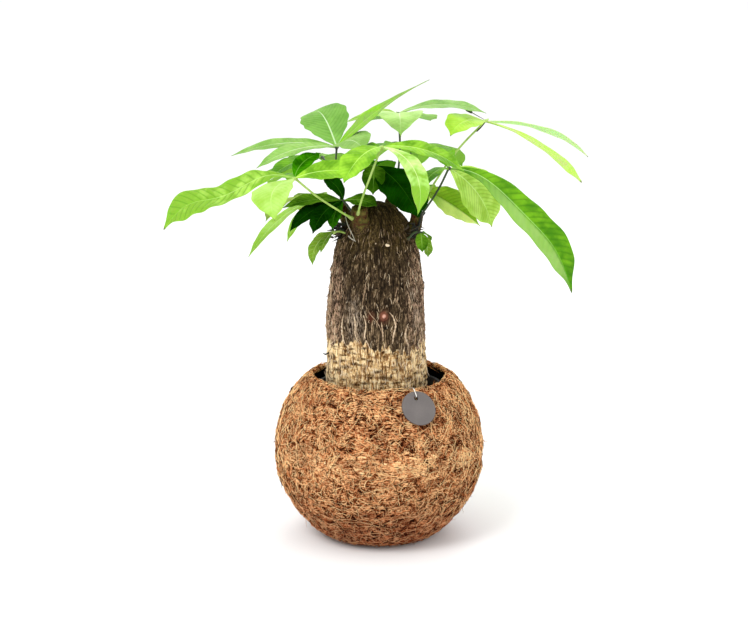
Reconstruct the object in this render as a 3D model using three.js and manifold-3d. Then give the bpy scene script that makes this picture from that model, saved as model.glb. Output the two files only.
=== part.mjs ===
// A potted money tree: a thick bare stump with a crown of hand-shaped leaves, standing in a ball of
// coconut fibre. Millimetres, +Z up. The origin is on the floor, under the middle of the ball, and
// +X is to the right and -Y towards a viewer who stands in front of the round tag.
import * as THREE from "three";
import { mergeVertices } from "three/addons/utils/BufferGeometryUtils.js";
import Module from "manifold-3d";

const wasm = await Module();
wasm.setup();

// Driving dimensions.
const BALL_RADIUS = 100.5;
const BALL_CENTRE_Z = 87;
const BALL_HEIGHT = 160;
const BALL_FOOT_RADIUS = 44;
const BALL_WALL = 5.5;
const RIM_WALL = 5;
const RIM_WAVE = 1.6;

const POT_HEIGHT = 144;
const POT_TOP_RADIUS = 60;
const POT_FOOT_RADIUS = 43;
const POT_WALL = 1.4;
const POT_LIP_HEIGHT = 8;
const SOIL_TOP_Z = 136;

const TRUNK_X = -3;
const TRUNK_TOP_Z = 326;
const ROOT_END_Z = 72;
const BARK_RIDGES = 20;
const RIDGE_HEIGHT = 0.75;

const TAG_RADIUS = 16.9;
const TAG_THICKNESS = 1.6;
const TAG_HOLE_RADIUS = 2;
const TAG_HOLE_DROP = 6.9;
const WIRE_RADIUS = 0.5;

const BLADE_THICKNESS = 0.7;
const MIDRIB_DEPTH = 1.3;
const STALK_RADIUS = 1;
const STALK_FOOT_RADIUS = 2.1;
const HUB_RADIUS = 2.8;

const SEAT_GAP = 0.3;

// How finely the round bodies and the blades are split.
const BALL_SIDES = 38;
const POT_SIDES = 32;
const TRUNK_SIDES = 2 * BARK_RIDGES;
const SOIL_SIDES = 28;
const BLADE_STEPS = 8;

const COLOURS = {
  coir: 0xa5672f,
  plastic: 0x121214,
  soil: 0x2b1d14,
  bark: 0x4a3a2c,
  stem: 0x5c7a2c,
  leafLight: 0x9ccf45,
  leafMid: 0x5fa02b,
  leafPale: 0x86bb6a,
  leafDark: 0x1f4a18,
  tag: 0x76706c,
  wire: 0xc9c6bf,
};

const vec = (x, y, z) => new THREE.Vector3(x, y, z);
const degrees = THREE.MathUtils.degToRad;
const smooth = THREE.MathUtils.smoothstep;

function material(colour, roughness, metalness = 0) {
  return new THREE.MeshStandardMaterial({ color: colour, roughness, metalness });
}

// A closed geometry as a solid that can be joined and cut.
function solidOf(geometry) {
  const plain = geometry.clone();
  plain.deleteAttribute("normal");
  plain.deleteAttribute("uv");
  const merged = mergeVertices(plain, 1e-4);
  return new wasm.Manifold(
    new wasm.Mesh({
      numProp: 3,
      vertProperties: new Float32Array(merged.attributes.position.array),
      triVerts: new Uint32Array(merged.index.array),
    }),
  );
}

function geometryOf(solid) {
  const mesh = solid.getMesh();
  const positions = new Float32Array(mesh.numVert * 3);
  for (let i = 0; i < mesh.numVert; i++) {
    const start = i * mesh.numProp;
    positions.set(mesh.vertProperties.subarray(start, start + 3), i * 3);
  }
  const geometry = new THREE.BufferGeometry();
  geometry.setAttribute("position", new THREE.BufferAttribute(positions, 3));
  geometry.setIndex(new THREE.BufferAttribute(mesh.triVerts, 1));
  geometry.computeVertexNormals();
  return geometry;
}

const unionOf = (solids) => solids.reduce((whole, next) => whole.add(next));

// Rings of points, joined ring to ring, as one closed body: closed with a face at both ends or,
// as a loop, by joining the last ring to the first. Each ring has as many points as the others and
// runs anticlockwise seen from the next ring.
function skin(rings, loop = false) {
  const sides = rings[0].length;
  const positions = [];
  const index = [];
  rings.forEach((ring) => ring.forEach((p) => positions.push(p.x, p.y, p.z)));
  for (let r = 0; r + (loop ? 0 : 1) < rings.length; r++) {
    const here = r * sides;
    const next = ((r + 1) % rings.length) * sides;
    for (let i = 0; i < sides; i++) {
      const j = (i + 1) % sides;
      index.push(here + i, here + j, next + j, here + i, next + j, next + i);
    }
  }
  const last = (rings.length - 1) * sides;
  for (let i = 1; i + 1 < sides && !loop; i++) {
    index.push(0, i + 1, i);
    index.push(last, last + i, last + i + 1);
  }
  const geometry = new THREE.BufferGeometry();
  geometry.setAttribute("position", new THREE.Float32BufferAttribute(positions, 3));
  geometry.setIndex(index);
  return geometry;
}

// A round bar along a curve, with its radius given as a function of the share of the way along.
function bar(curve, radiusAt, steps, sides) {
  const frames = curve.computeFrenetFrames(steps, false);
  const rings = [];
  for (let i = 0; i <= steps; i++) {
    const centre = curve.getPointAt(i / steps);
    const radius = radiusAt(i / steps);
    rings.push(
      Array.from({ length: sides }, (_, k) => {
        const angle = (2 * Math.PI * k) / sides;
        return centre
          .clone()
          .addScaledVector(frames.normals[i], radius * Math.cos(angle))
          .addScaledVector(frames.binormals[i], radius * Math.sin(angle));
      }),
    );
  }
  return skin(rings);
}

// A turned body about +Z from a profile of [radius, height] pairs, with each point then pushed
// outwards by relief(angle, height, radius).
function turned(profile, sides, relief = () => 0) {
  const lathe = new THREE.LatheGeometry(
    profile.map(([radius, height]) => new THREE.Vector2(radius, height)),
    sides,
  );
  lathe.rotateX(Math.PI / 2);
  const position = lathe.attributes.position;
  for (let i = 0; i < position.count; i++) {
    const radius = Math.hypot(position.getX(i), position.getY(i));
    if (radius < 1e-3) {
      position.setXY(i, 0, 0);
      continue;
    }
    const angle = Math.atan2(position.getY(i), position.getX(i));
    const grown = radius + relief(angle, position.getZ(i), radius);
    position.setX(i, (position.getX(i) / radius) * grown);
    position.setY(i, (position.getY(i) / radius) * grown);
  }
  return lathe;
}

// The coir ball: a thin fibre shell, open at the top, with a flat foot and a hand-cut, wavy rim.
const ballRadiusAt = (z) => Math.sqrt(BALL_RADIUS ** 2 - (z - BALL_CENTRE_Z) ** 2);
const RIM_RADIUS = ballRadiusAt(BALL_HEIGHT);
const MOUTH_RADIUS = RIM_RADIUS - RIM_WALL;

function coirLumps(angle, z) {
  const band = Math.sin((Math.PI * z) / BALL_HEIGHT);
  const wide = 1.1 * Math.sin(3 * angle + 0.045 * z) + 0.8 * Math.sin(5 * angle - 0.06 * z + 1.3);
  const fine = 0.7 * Math.sin(11 * angle + 0.11 * z + 0.4) * Math.sin(0.13 * z + 2 * angle);
  return band * (wide + fine);
}

function rimWave(angle, z) {
  const nearRim = smooth(z, BALL_HEIGHT - 30, BALL_HEIGHT);
  return nearRim * RIM_WAVE * (0.6 * Math.sin(2 * angle + 0.6) + 0.4 * Math.sin(5 * angle + 1.9));
}

function coirBall() {
  const outerSteps = 11;
  const innerSteps = 6;
  const foot = 4;
  const lip = 1.5;
  const outside = Array.from({ length: outerSteps + 1 }, (_, i) => {
    const share = 0.5 - 0.5 * Math.cos((Math.PI * i) / outerSteps);
    const z = foot + (BALL_HEIGHT - lip - foot) * share;
    return [ballRadiusAt(z), z];
  });
  const inside = Array.from({ length: innerSteps + 1 }, (_, i) => {
    const z = THREE.MathUtils.lerp(BALL_HEIGHT - 15, 2 * BALL_WALL, i / innerSteps);
    return [ballRadiusAt(z) - BALL_WALL, z];
  });
  const profile = [
    [0, 0],
    [BALL_FOOT_RADIUS, 0],
    ...outside,
    [RIM_RADIUS - lip, BALL_HEIGHT],
    [MOUTH_RADIUS + lip, BALL_HEIGHT],
    [MOUTH_RADIUS, BALL_HEIGHT - 2 * lip],
    ...inside,
    [POT_FOOT_RADIUS + 4, BALL_WALL],
    [0, BALL_WALL],
  ];
  const relief = (angle, z, radius) =>
    z >= foot && radius > ballRadiusAt(z) - BALL_WALL / 2 ? coirLumps(angle, z) : 0;
  const shell = turned(profile, BALL_SIDES, relief);
  const position = shell.attributes.position;
  for (let i = 0; i < position.count; i++) {
    const angle = Math.atan2(position.getY(i), position.getX(i));
    position.setZ(i, position.getZ(i) + rimWave(angle, position.getZ(i)));
  }
  return solidOf(shell);
}

// The black nursery pot inside the ball, which holds the soil and the water.
const POT_FOOT_Z = BALL_WALL + SEAT_GAP;

const potRadiusAt = (z) =>
  THREE.MathUtils.mapLinear(z, POT_FOOT_Z, POT_FOOT_Z + POT_HEIGHT, POT_FOOT_RADIUS, POT_TOP_RADIUS);

function nurseryPot() {
  const top = POT_FOOT_Z + POT_HEIGHT;
  const underLip = top - POT_LIP_HEIGHT;
  const profile = [
    [0, POT_FOOT_Z],
    [POT_FOOT_RADIUS, POT_FOOT_Z],
    [potRadiusAt(underLip), underLip],
    [potRadiusAt(underLip) + POT_WALL, underLip],
    [potRadiusAt(top) + POT_WALL, top],
    [potRadiusAt(top) - POT_WALL, top],
    [POT_FOOT_RADIUS - POT_WALL, POT_FOOT_Z + POT_WALL],
    [0, POT_FOOT_Z + POT_WALL],
  ];
  return solidOf(turned(profile, POT_SIDES));
}

// The stump: a thick column that draws in to a rounded head, with a tapered end in the soil.
const TRUNK_PROFILE = [
  [0, ROOT_END_Z],
  [24, ROOT_END_Z + 3],
  [36, ROOT_END_Z + 16],
  [44, ROOT_END_Z + 38],
  [48, SOIL_TOP_Z - 6],
  [49.4, SOIL_TOP_Z + 10],
  [49.4, 160],
  [48.4, 176],
  [48, 196],
  [47.8, 216],
  [46.8, 236],
  [45.2, 254],
  [42.8, 271],
  [39.8, 286],
  [35.6, 299],
  [30.6, 309],
  [24.5, 318],
  [17, TRUNK_TOP_Z - 1],
  [0, TRUNK_TOP_Z],
];

function barkRelief(angle, z) {
  const lean = 1.7 * Math.sin(0.035 * z + 3 * angle);
  const ridges = RIDGE_HEIGHT * Math.sin(BARK_RIDGES * angle + lean);
  const swells = 0.9 * Math.sin(2 * angle + 0.02 * z) + 0.6 * Math.sin(5 * angle + 0.05 * z);
  const aboveSoil = smooth(z, SOIL_TOP_Z + 5, SOIL_TOP_Z + 14);
  const belowTop = smooth(TRUNK_TOP_Z - z, 0, 14);
  return aboveSoil * belowTop * (ridges + swells);
}

const trunkBody = () =>
  solidOf(turned(TRUNK_PROFILE, TRUNK_SIDES, barkRelief)).translate(TRUNK_X, 0, 0);

// The soil fills the nursery pot and has a plain hole for the stump's lower end.
function soil() {
  const floor = POT_FOOT_Z + POT_WALL + SEAT_GAP;
  const sideGap = 2 * SEAT_GAP;
  const side = (z) => potRadiusAt(z) - POT_WALL - sideGap;
  const edge = 2;
  const profile = [
    [0, floor],
    [side(floor) - 1, floor],
    [side(floor + edge), floor + edge],
    [side(SOIL_TOP_Z), SOIL_TOP_Z - edge],
    [side(SOIL_TOP_Z) - edge, SOIL_TOP_Z],
    [0, SOIL_TOP_Z],
  ];
  const aboveTop = SOIL_TOP_Z + 20;
  const hole = TRUNK_PROFILE.filter(([, z]) => z < aboveTop)
    .map(([radius, z]) => [radius && radius + 3 * SEAT_GAP, z - SEAT_GAP])
    .concat([[0, aboveTop]]);
  const block = solidOf(turned(profile, SOIL_SIDES));
  return block.subtract(solidOf(turned(hole, SOIL_SIDES)).translate(TRUNK_X, 0, 0));
}

// Shoots: short stems that break out of the stump's head. Each has its root in a plain hole in the
// stump, and carries the leaf stalks in plain holes of its own.
const SHOOTS = {
  shoot_left: { through: [[-10, -14, 296], [-17, -26, 310], [-19, -33, 328]], radii: [10, 7.5] },
  shoot_right: { through: [[20, -4, 284], [32, -7, 300], [37, -8, 322]], radii: [7.5, 5.2] },
  shoot_back_left: { through: [[-20, 6, 296], [-30, 12, 308], [-37, 15, 326]], radii: [8, 5.4] },
  shoot_back: { through: [[4, 10, 306], [10, 20, 319], [15, 25, 336]], radii: [7.5, 5.2] },
};

const curveThrough = (points) => new THREE.CatmullRomCurve3(points.map((p) => vec(...p)));

// The same curve, started earlier by a short way along its first direction.
function drawnBack(points, distance) {
  const curve = curveThrough(points);
  const start = curve.getPointAt(0).addScaledVector(curve.getTangentAt(0), -distance);
  return [start.toArray(), ...points];
}

// With extra, the hole that takes the shoot.
function shootSolid({ through, radii }, extra = 0) {
  const points = extra ? drawnBack(through, extra) : through;
  const radiusAt = (share) => THREE.MathUtils.lerp(radii[0], radii[1], share) + extra;
  return solidOf(bar(curveThrough(points), radiusAt, 6, 10));
}

// Leaves. A leaf is a stalk that ends in a hub, with leaflets spread round it like fingers. A
// leaflet's midrib is an arc from the hub to its tip in an upright plane: arch is how far its
// direction falls on the way, in degrees, and a sag above 1 keeps most of that fall for the tip. A
// dip makes the midrib rise, sink and rise again by that much on its way.
// roll turns the blade about the midrib, and twist turns it on by its tip. bow swings the midrib
// sideways, and cup folds the two halves up. The margins swing up and down by wave, ripples times
// along the blade from phase on. A blade with a smaller blunt stays wide nearer to its tip.

const LEAVES = [
  {
    name: "leaf_front_left",
    colour: "leafLight",
    from: "shoot_left",
    stalk: [[-25, -37, 318], [-38, -44, 327], [-58, -60, 343]],
    hub: [-77.5, -70, 361],
    leaflets: [
      {
        tip: [-199.3, -60, 311.5], width: 36, arch: 42.5, roll: -33, sag: 1.4, bow: -4,
        dip: 4.6, wave: 2.7, ripples: 1.9, phase: -0.58, blunt: 0.62,
      },
      { tip: [-92.8, -126, 330.9], width: 39, arch: 75, roll: 10.7, sag: 2.48, bow: -8.6 },
      { tip: [-20, -76, 367], width: 26, arch: 34, roll: 34 },
      { tip: [-54.7, -32.5, 379.4], width: 17.6, arch: 25.5, roll: 16.7, bow: 4.5 },
      { tip: [-104, -5, 345], width: 18, arch: 30, roll: -14 },
    ],
  },
  {
    name: "leaf_top_left",
    colour: "leafPale",
    from: "shoot_back_left",
    stalk: [[-36, 13, 322], [-38, 6, 340], [-41, -4, 362]],
    hub: [-40, -16, 383],
    leaflets: [
      {
        tip: [-63, 32, 411], width: 46, arch: 66, roll: -20, sag: 2.4,
        cup: 0.08, wave: 0.3, blunt: 0.9,
      },
      { tip: [45, -66, 450], width: 19, arch: 20, roll: 50, twist: -20, blunt: 2.8 },
      { tip: [-141, 10, 371], width: 18, arch: 34, roll: -22 },
      { tip: [-114, -40, 366], width: 20, arch: 44, roll: -18 },
      { tip: [-14, -66, 386], width: 34, arch: 60, roll: 22, sag: 1.3 },
    ],
  },
  {
    name: "leaf_front_centre",
    colour: "leafLight",
    from: "shoot_left",
    stalk: [[-20, -37, 322], [-17, -50, 336], [-8, -58, 362]],
    hub: [2, -64, 389],
    leaflets: [
      { tip: [-32, -108, 362], width: 30, arch: 60, roll: -10 },
      { tip: [34, -108, 333], width: 20, arch: 82, roll: 10, bow: 9 },
      { tip: [79, -54, 364], width: 24, arch: 50, roll: 26 },
      { tip: [-38, -38, 366], width: 26, arch: 50, roll: -20 },
      { tip: [36, -16, 374], width: 28, arch: 34, roll: 10 },
    ],
  },
  {
    name: "leaf_top_centre",
    colour: "leafPale",
    from: "shoot_back",
    stalk: [[15, 24, 331], [18, 28, 350], [20, 34, 380]],
    hub: [18, 34, 409],
    leaflets: [
      { tip: [-32, 60, 398], width: 26, arch: 20, roll: -16 },
      { tip: [20, -26, 393], width: 44, arch: 80, sag: 2.4, blunt: 1.5 },
      { tip: [103, 34, 409], width: 18, arch: 46, roll: 20 },
      { tip: [52, 116, 393], width: 36, arch: 8 },
      { tip: [-10, 120, 392], width: 36, arch: 8 },
    ],
  },
  {
    name: "leaf_top_right",
    colour: "leafLight",
    from: "shoot_right",
    stalk: [[38, -4, 318], [44, 10, 330], [76, 44, 372]],
    hub: [104, 60, 399],
    leaflets: [
      { tip: [67, 0, 391], width: 32, arch: 54, roll: -16, sag: 2.4 },
      { tip: [205, 60, 363.2], width: 14.3, arch: 42.8, roll: -23.6, sag: 1.62, blunt: 0.86 },
      { tip: [194.5, 18, 344.2], width: 13, arch: 35, roll: 15.3, blunt: 0.36 },
      { tip: [80, 142, 381], width: 34, arch: 16 },
    ],
  },
  {
    name: "leaf_right",
    colour: "leafMid",
    from: "shoot_right",
    stalk: [[38, -10, 315], [46, -10, 326], [57, -6, 343]],
    hub: [66, -2, 361],
    leaflets: [
      { tip: [179, -60, 252], width: 35, arch: 70, roll: 29, bow: -6, dip: 3, cup: 0.2, blunt: 0.77 },
      { tip: [108, 4, 303], width: 52, arch: 48, roll: 50, bow: -5, blunt: 1.2 },
      { tip: [54, 40, 377], width: 26, arch: 30 },
      { tip: [38, -44, 346], width: 17, arch: 56 },
      { tip: [114, 40, 342], width: 26, arch: 20 },
    ],
  },
  {
    name: "leaf_right_low",
    colour: "leafMid",
    from: "shoot_right",
    stalk: [[36, -1, 308], [43, 6, 320]],
    hub: [42, 20, 338],
    leaflets: [
      { tip: [98, 22, 301], width: 33, arch: 22, roll: 42, blunt: 1.5 },
      { tip: [90, 84, 304], width: 36, arch: 50 },
      { tip: [36, 104, 302], width: 38, arch: 54 },
    ],
  },
  {
    name: "leaf_centre_shade",
    colour: "leafDark",
    from: "shoot_back",
    stalk: [[12, 18, 326], [5, 14, 336], [-1, 10, 350]],
    hub: [-4, 6, 362],
    leaflets: [
      { tip: [37, -48, 320], width: 46, arch: 46, roll: 12 },
      { tip: [-6, -34, 340], width: 22, arch: 66 },
      { tip: [-42, -8, 350], width: 18, arch: 30, roll: -14 },
      { tip: [-32, 78, 338], width: 30, arch: 50 },
      { tip: [6, 90, 338], width: 28, arch: 50 },
    ],
  },
  {
    name: "leaf_left_shade",
    colour: "leafDark",
    from: "shoot_left",
    stalk: [[-21, -29, 316], [-27, -27, 325]],
    hub: [-34, -22, 333],
    leaflets: [
      { tip: [-91, -22, 326], width: 28, arch: 34, roll: -12 },
      { tip: [-2, -36, 330], width: 22, arch: 40, roll: 20 },
      { tip: [-84, -36, 306], width: 22, arch: 50, roll: -20 },
      { tip: [-62, -50, 306], width: 22, arch: 66, roll: -10 },
      { tip: [-44, -38, 308], width: 14, arch: 70, roll: -6 },
      { tip: [-54, -15, 354], width: 16, arch: 70, roll: -34 },
    ],
  },
  {
    name: "leaf_left_low",
    colour: "leafLight",
    from: "shoot_back_left",
    stalk: [[-38, 16, 318], [-46, 20, 325]],
    hub: [-58, 22, 330],
    leaflets: [
      { tip: [-125, -8, 276], width: 15, arch: 44, roll: -14 },
      { tip: [-88, -8, 291], width: 11, arch: 40, roll: -10 },
      { tip: [-112, 56, 300], width: 32, arch: 56 },
      { tip: [-74, 92, 300], width: 34, arch: 56 },
    ],
  },
  {
    name: "leaf_left_young",
    colour: "leafMid",
    from: "trunk",
    stalk: [[-28, -16, 299], [-37, -20, 303]],
    hub: [-43, -22, 303],
    leaflets: [
      { tip: [-63, -26, 272], width: 15, arch: 88, roll: -30 },
      { tip: [-60, 4, 284], width: 16, arch: 60 },
      { tip: [-55, -38, 286], width: 9, arch: 70 },
    ],
  },
  {
    name: "leaf_right_young",
    colour: "leafMid",
    from: "trunk",
    stalk: [[27, -20, 296], [34, -24, 303]],
    hub: [39, -26, 303],
    leaflets: [
      { tip: [46, -30, 280], width: 14, arch: 50, roll: 10 },
      { tip: [48, -20, 293], width: 11, arch: 100, roll: 10 },
      { tip: [40, -48, 288], width: 12, arch: 60 },
    ],
  },
  {
    name: "leaf_back_left",
    colour: "leafMid",
    from: "shoot_back_left",
    stalk: [[-35, 17, 321], [-40, 34, 340], [-50, 56, 356]],
    hub: [-56, 70, 362],
    leaflets: [
      { tip: [-122, 96, 330], width: 36, arch: 44 },
      { tip: [-94, 146, 326], width: 40, arch: 52 },
      { tip: [-36, 144, 332], width: 38, arch: 56 },
      { tip: [-108, 44, 344], width: 28, arch: 44, roll: -8 },
    ],
  },
  {
    name: "leaf_back",
    colour: "leafMid",
    from: "shoot_back",
    stalk: [[17, 27, 329], [28, 44, 346], [31, 70, 364]],
    hub: [32, 90, 371],
    leaflets: [
      { tip: [-20, 158, 338], width: 38, arch: 50 },
      { tip: [36, 176, 334], width: 40, arch: 54 },
      { tip: [86, 146, 342], width: 38, arch: 50 },
      { tip: [-26, 96, 358], width: 28, arch: 44 },
    ],
  },
];

// The blade's half width, as a share of its widest: narrow at the hub, widest past the middle and
// drawn out to a drip tip.
function outline(share, blunt = 1) {
  const rise = 1.15;
  const fall = 0.8675 * blunt;
  const widestAt = rise / (rise + fall);
  const form = (s) => s ** rise * (1 - s) ** fall;
  const drip = 1 - 0.6 * smooth(share, 0.84, 0.98);
  return (form(share) / form(widestAt)) * drip;
}

// How far a leaflet of length 1 that starts level has come at a share of the way along.
function levelArc(leaflet, share) {
  const pieces = 48;
  let forward = 0;
  let upward = 0;
  for (let i = 0; i < pieces; i++) {
    const fall = degrees(leaflet.arch) * ((share * (i + 0.5)) / pieces) ** (leaflet.sag ?? 1);
    forward += (Math.cos(fall) * share) / pieces;
    upward -= (Math.sin(fall) * share) / pieces;
  }
  return [forward, upward];
}

// The frame of a leaflet at a share of the way along: its midrib point, the direction across the
// blade and the blade's upward normal.
function bladeFrame(hub, leaflet, share) {
  const { tip, arch, sag = 1, roll = 0, twist = 0, bow = 0, dip = 0 } = leaflet;
  const chord = vec(...tip).sub(hub);
  const flat = Math.hypot(chord.x, chord.y);
  const ahead = vec(chord.x / flat, chord.y / flat, 0);
  const across = vec(-ahead.y, ahead.x, 0);
  const [wholeForward, wholeUpward] = levelArc(leaflet, 1);
  const length = chord.length() / Math.hypot(wholeForward, wholeUpward);
  const rise = Math.atan2(chord.z, flat) - Math.atan2(wholeUpward, wholeForward);
  const [forward, upward] = levelArc(leaflet, share);
  const centre = hub
    .clone()
    .addScaledVector(ahead, length * (forward * Math.cos(rise) - upward * Math.sin(rise)))
    .addScaledVector(across, 4 * bow * share * (1 - share));
  centre.z += length * (forward * Math.sin(rise) + upward * Math.cos(rise));
  centre.z += dip * Math.sin(3 * Math.PI * share);
  const slope = rise - degrees(arch) * share ** sag;
  const along = ahead.clone().multiplyScalar(Math.cos(slope)).setZ(Math.sin(slope));
  const up = along.clone().cross(across);
  const angle = degrees(roll + twist * share);
  const side = across.clone().multiplyScalar(Math.cos(angle)).addScaledVector(up, Math.sin(angle));
  return { centre, side, normal: along.clone().cross(side) };
}

// A point of the blade's upper face: across runs from -1 at one margin to 1 at the other. The two
// halves rise a little from the midrib, and the margins ripple.
function bladePoint(hub, leaflet, share, across) {
  const leastHalf = 0.5;
  const { cup = 0.12, wave = 0.6, ripples = 2.5, phase = 0 } = leaflet;
  const { centre, side, normal } = bladeFrame(hub, leaflet, share);
  const half = Math.max((leaflet.width / 2) * outline(share, leaflet.blunt), leastHalf);
  const ripple = wave * Math.sin(2 * Math.PI * ripples * share + 2 * across + phase);
  const lift = cup * half * Math.abs(across) + ripple * across ** 2 * Math.min(half / 8, 1);
  return centre.addScaledVector(side, across * half).addScaledVector(normal, lift);
}

// One leaflet: a blade with an upper and a lower face split alike, and a midrib below that fades
// towards the tip. Its rings lie closer together towards both ends.
function leafletSolid(hub, leaflet) {
  const rings = [];
  for (let i = 0; i <= BLADE_STEPS; i++) {
    const share = 0.5 - 0.5 * Math.cos((Math.PI * (i + 0.35)) / (BLADE_STEPS + 0.35));
    const { normal } = bladeFrame(hub, leaflet, share);
    const rib = MIDRIB_DEPTH * (1 - share) ** 1.4;
    const top = [-1, 0, 1].map((across) => bladePoint(hub, leaflet, share, across));
    const [left, middle, right] = top.map((point, k) =>
      point.clone().addScaledVector(normal, -BLADE_THICKNESS - (k === 1 ? rib : 0)),
    );
    rings.push([...top, right, middle, left]);
  }
  return solidOf(bladeSkin(rings));
}

// Skins a blade's rings of six points, left to right above and right to left below, with the
// diagonals of the two faces alike.
function bladeSkin(rings) {
  const index = [];
  const quad = (a, b, c, d) => index.push(a, b, c, a, c, d);
  const quadOther = (a, b, c, d) => index.push(a, b, d, b, c, d);
  for (let r = 0; r + 1 < rings.length; r++) {
    const at = (k) => r * 6 + k;
    const next = (k) => (r + 1) * 6 + k;
    quad(at(0), next(0), next(1), at(1));
    quadOther(at(1), next(1), next(2), at(2));
    quad(at(2), next(2), next(3), at(3));
    quad(at(3), next(3), next(4), at(4));
    quadOther(at(4), next(4), next(5), at(5));
    quad(at(5), next(5), next(0), at(0));
  }
  const last = (rings.length - 1) * 6;
  [
    [0, 1, 4],
    [0, 4, 5],
    [1, 2, 3],
    [1, 3, 4],
  ].forEach(([a, b, c]) => {
    index.push(a, b, c);
    index.push(last + a, last + c, last + b);
  });
  const geometry = new THREE.BufferGeometry();
  const positions = rings.flat().flatMap((p) => [p.x, p.y, p.z]);
  geometry.setAttribute("position", new THREE.Float32BufferAttribute(positions, 3));
  geometry.setIndex(index);
  return geometry;
}

// A leaf's stalk, thicker at its foot. With extra, the hole that takes the foot.
function stalkSolid(leaf, extra = 0) {
  const points = [...leaf.stalk, leaf.hub];
  const path = extra ? drawnBack(points, extra) : points;
  const radiusAt = (share) =>
    THREE.MathUtils.lerp(STALK_FOOT_RADIUS, STALK_RADIUS, smooth(share, 0, 0.14)) + extra;
  return solidOf(bar(curveThrough(path), radiusAt, 7, 6));
}

function leafSolid(leaf) {
  const hub = vec(...leaf.hub);
  const knob = new THREE.IcosahedronGeometry(HUB_RADIUS, 0).translate(...leaf.hub);
  const blades = leaf.leaflets.map((leaflet) => leafletSolid(hub, leaflet));
  return unionOf([stalkSolid(leaf), solidOf(knob), ...blades]);
}

// The round tag, which leans on the ball below the rim, and the thin wire loop that holds it: from
// the tag's hole over the rim, down inside and back out through the wall. Both lie about an
// upright plane through the ball's axis, in which a place is a distance out from it and a height.
const TAG_ANGLE = degrees(-64.3);
const TAG_SLOPE = degrees(34.6);
const TAG_CLEAR = 1.4;
const TAG_SIDES = 20;

const outward = vec(Math.cos(TAG_ANGLE), Math.sin(TAG_ANGLE), 0);
const inTagPlane = (out, z) => outward.clone().multiplyScalar(out).setZ(z);

function tagFrame() {
  const face = inTagPlane(Math.cos(TAG_SLOPE), Math.sin(TAG_SLOPE));
  const upslope = inTagPlane(-Math.sin(TAG_SLOPE), Math.cos(TAG_SLOPE));
  const centre = vec(0, 0, BALL_CENTRE_Z).addScaledVector(face, BALL_RADIUS + TAG_CLEAR);
  return { face, upslope, across: upslope.clone().cross(face), centre };
}

function tag() {
  const { face, upslope, across, centre } = tagFrame();
  const disc = new THREE.Shape().absarc(0, 0, TAG_RADIUS, 0, 2 * Math.PI);
  const hole = new THREE.Path();
  hole.absarc(0, TAG_RADIUS - TAG_HOLE_DROP, TAG_HOLE_RADIUS, 0, 2 * Math.PI);
  disc.holes.push(hole);
  const plate = new THREE.ExtrudeGeometry(disc, {
    depth: TAG_THICKNESS,
    bevelEnabled: false,
    curveSegments: TAG_SIDES / 2,
  });
  return plate.applyMatrix4(new THREE.Matrix4().makeBasis(across, upslope, face).setPosition(centre));
}

// The wire runs through the tag where the tag hangs from it, at the top of the hole.
function wireLoop(extra = 0) {
  const { face, upslope, centre } = tagFrame();
  const rise = TAG_RADIUS - TAG_HOLE_DROP + TAG_HOLE_RADIUS - WIRE_RADIUS - SEAT_GAP;
  const throughTag = centre.clone().addScaledVector(upslope, rise);
  const curve = new THREE.CatmullRomCurve3(
    [
      throughTag.clone().addScaledVector(face, 2.8),
      throughTag.clone().addScaledVector(face, -1),
      inTagPlane(RIM_RADIUS + 1.6, BALL_HEIGHT - 10.5),
      inTagPlane(MOUTH_RADIUS + 0.6, BALL_HEIGHT - 9.5),
      inTagPlane(MOUTH_RADIUS - 1.1, BALL_HEIGHT - 4.5),
      inTagPlane(MOUTH_RADIUS - 0.2, BALL_HEIGHT + 0.2),
      inTagPlane(MOUTH_RADIUS + 3.4, BALL_HEIGHT + 0.9),
      inTagPlane(RIM_RADIUS + 4.6, BALL_HEIGHT + 2),
      inTagPlane(RIM_RADIUS + 7.6, BALL_HEIGHT - 0.4),
    ],
    true,
  );
  const steps = 28;
  const sides = 6;
  const across = vec(0, 0, 1).cross(outward);
  const rings = Array.from({ length: steps }, (_, i) => {
    const tangent = curve.getTangentAt(i / steps);
    const aside = tangent.clone().cross(across);
    return Array.from({ length: sides }, (_, k) => {
      const angle = (2 * Math.PI * k) / sides;
      return curve
        .getPointAt(i / steps)
        .addScaledVector(aside, (WIRE_RADIUS + extra) * Math.cos(angle))
        .addScaledVector(across, -(WIRE_RADIUS + extra) * Math.sin(angle));
    });
  });
  return solidOf(skin(rings, true));
}

const root = new THREE.Group();
root.name = "potted_money_tree";

function place(name, shape, finish) {
  const geometry = shape instanceof THREE.BufferGeometry ? shape : geometryOf(shape);
  const mesh = new THREE.Mesh(geometry, finish);
  mesh.name = name;
  root.add(mesh);
}

place("coir_ball", coirBall().subtract(wireLoop(SEAT_GAP)), material(COLOURS.coir, 0.95));
place("tag", tag(), material(COLOURS.tag, 0.6));
place("tag_wire", wireLoop(), material(COLOURS.wire, 0.35, 0.8));
place("nursery_pot", nurseryPot(), material(COLOURS.plastic, 0.5));
place("soil", soil(), material(COLOURS.soil, 1));

let trunk = trunkBody();
for (const [name, shoot] of Object.entries(SHOOTS)) {
  trunk = trunk.subtract(shootSolid(shoot, SEAT_GAP));
  let stem = shootSolid(shoot);
  for (const leaf of LEAVES.filter((one) => one.from === name)) {
    stem = stem.subtract(stalkSolid(leaf, SEAT_GAP));
  }
  place(name, stem, material(COLOURS.stem, 0.6));
}
for (const leaf of LEAVES.filter((one) => one.from === "trunk")) {
  trunk = trunk.subtract(stalkSolid(leaf, SEAT_GAP));
}
place("trunk", trunk, material(COLOURS.bark, 0.9));

for (const leaf of LEAVES) {
  place(leaf.name, leafSolid(leaf), material(COLOURS[leaf.colour], 0.45));
}

export default root;
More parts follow.
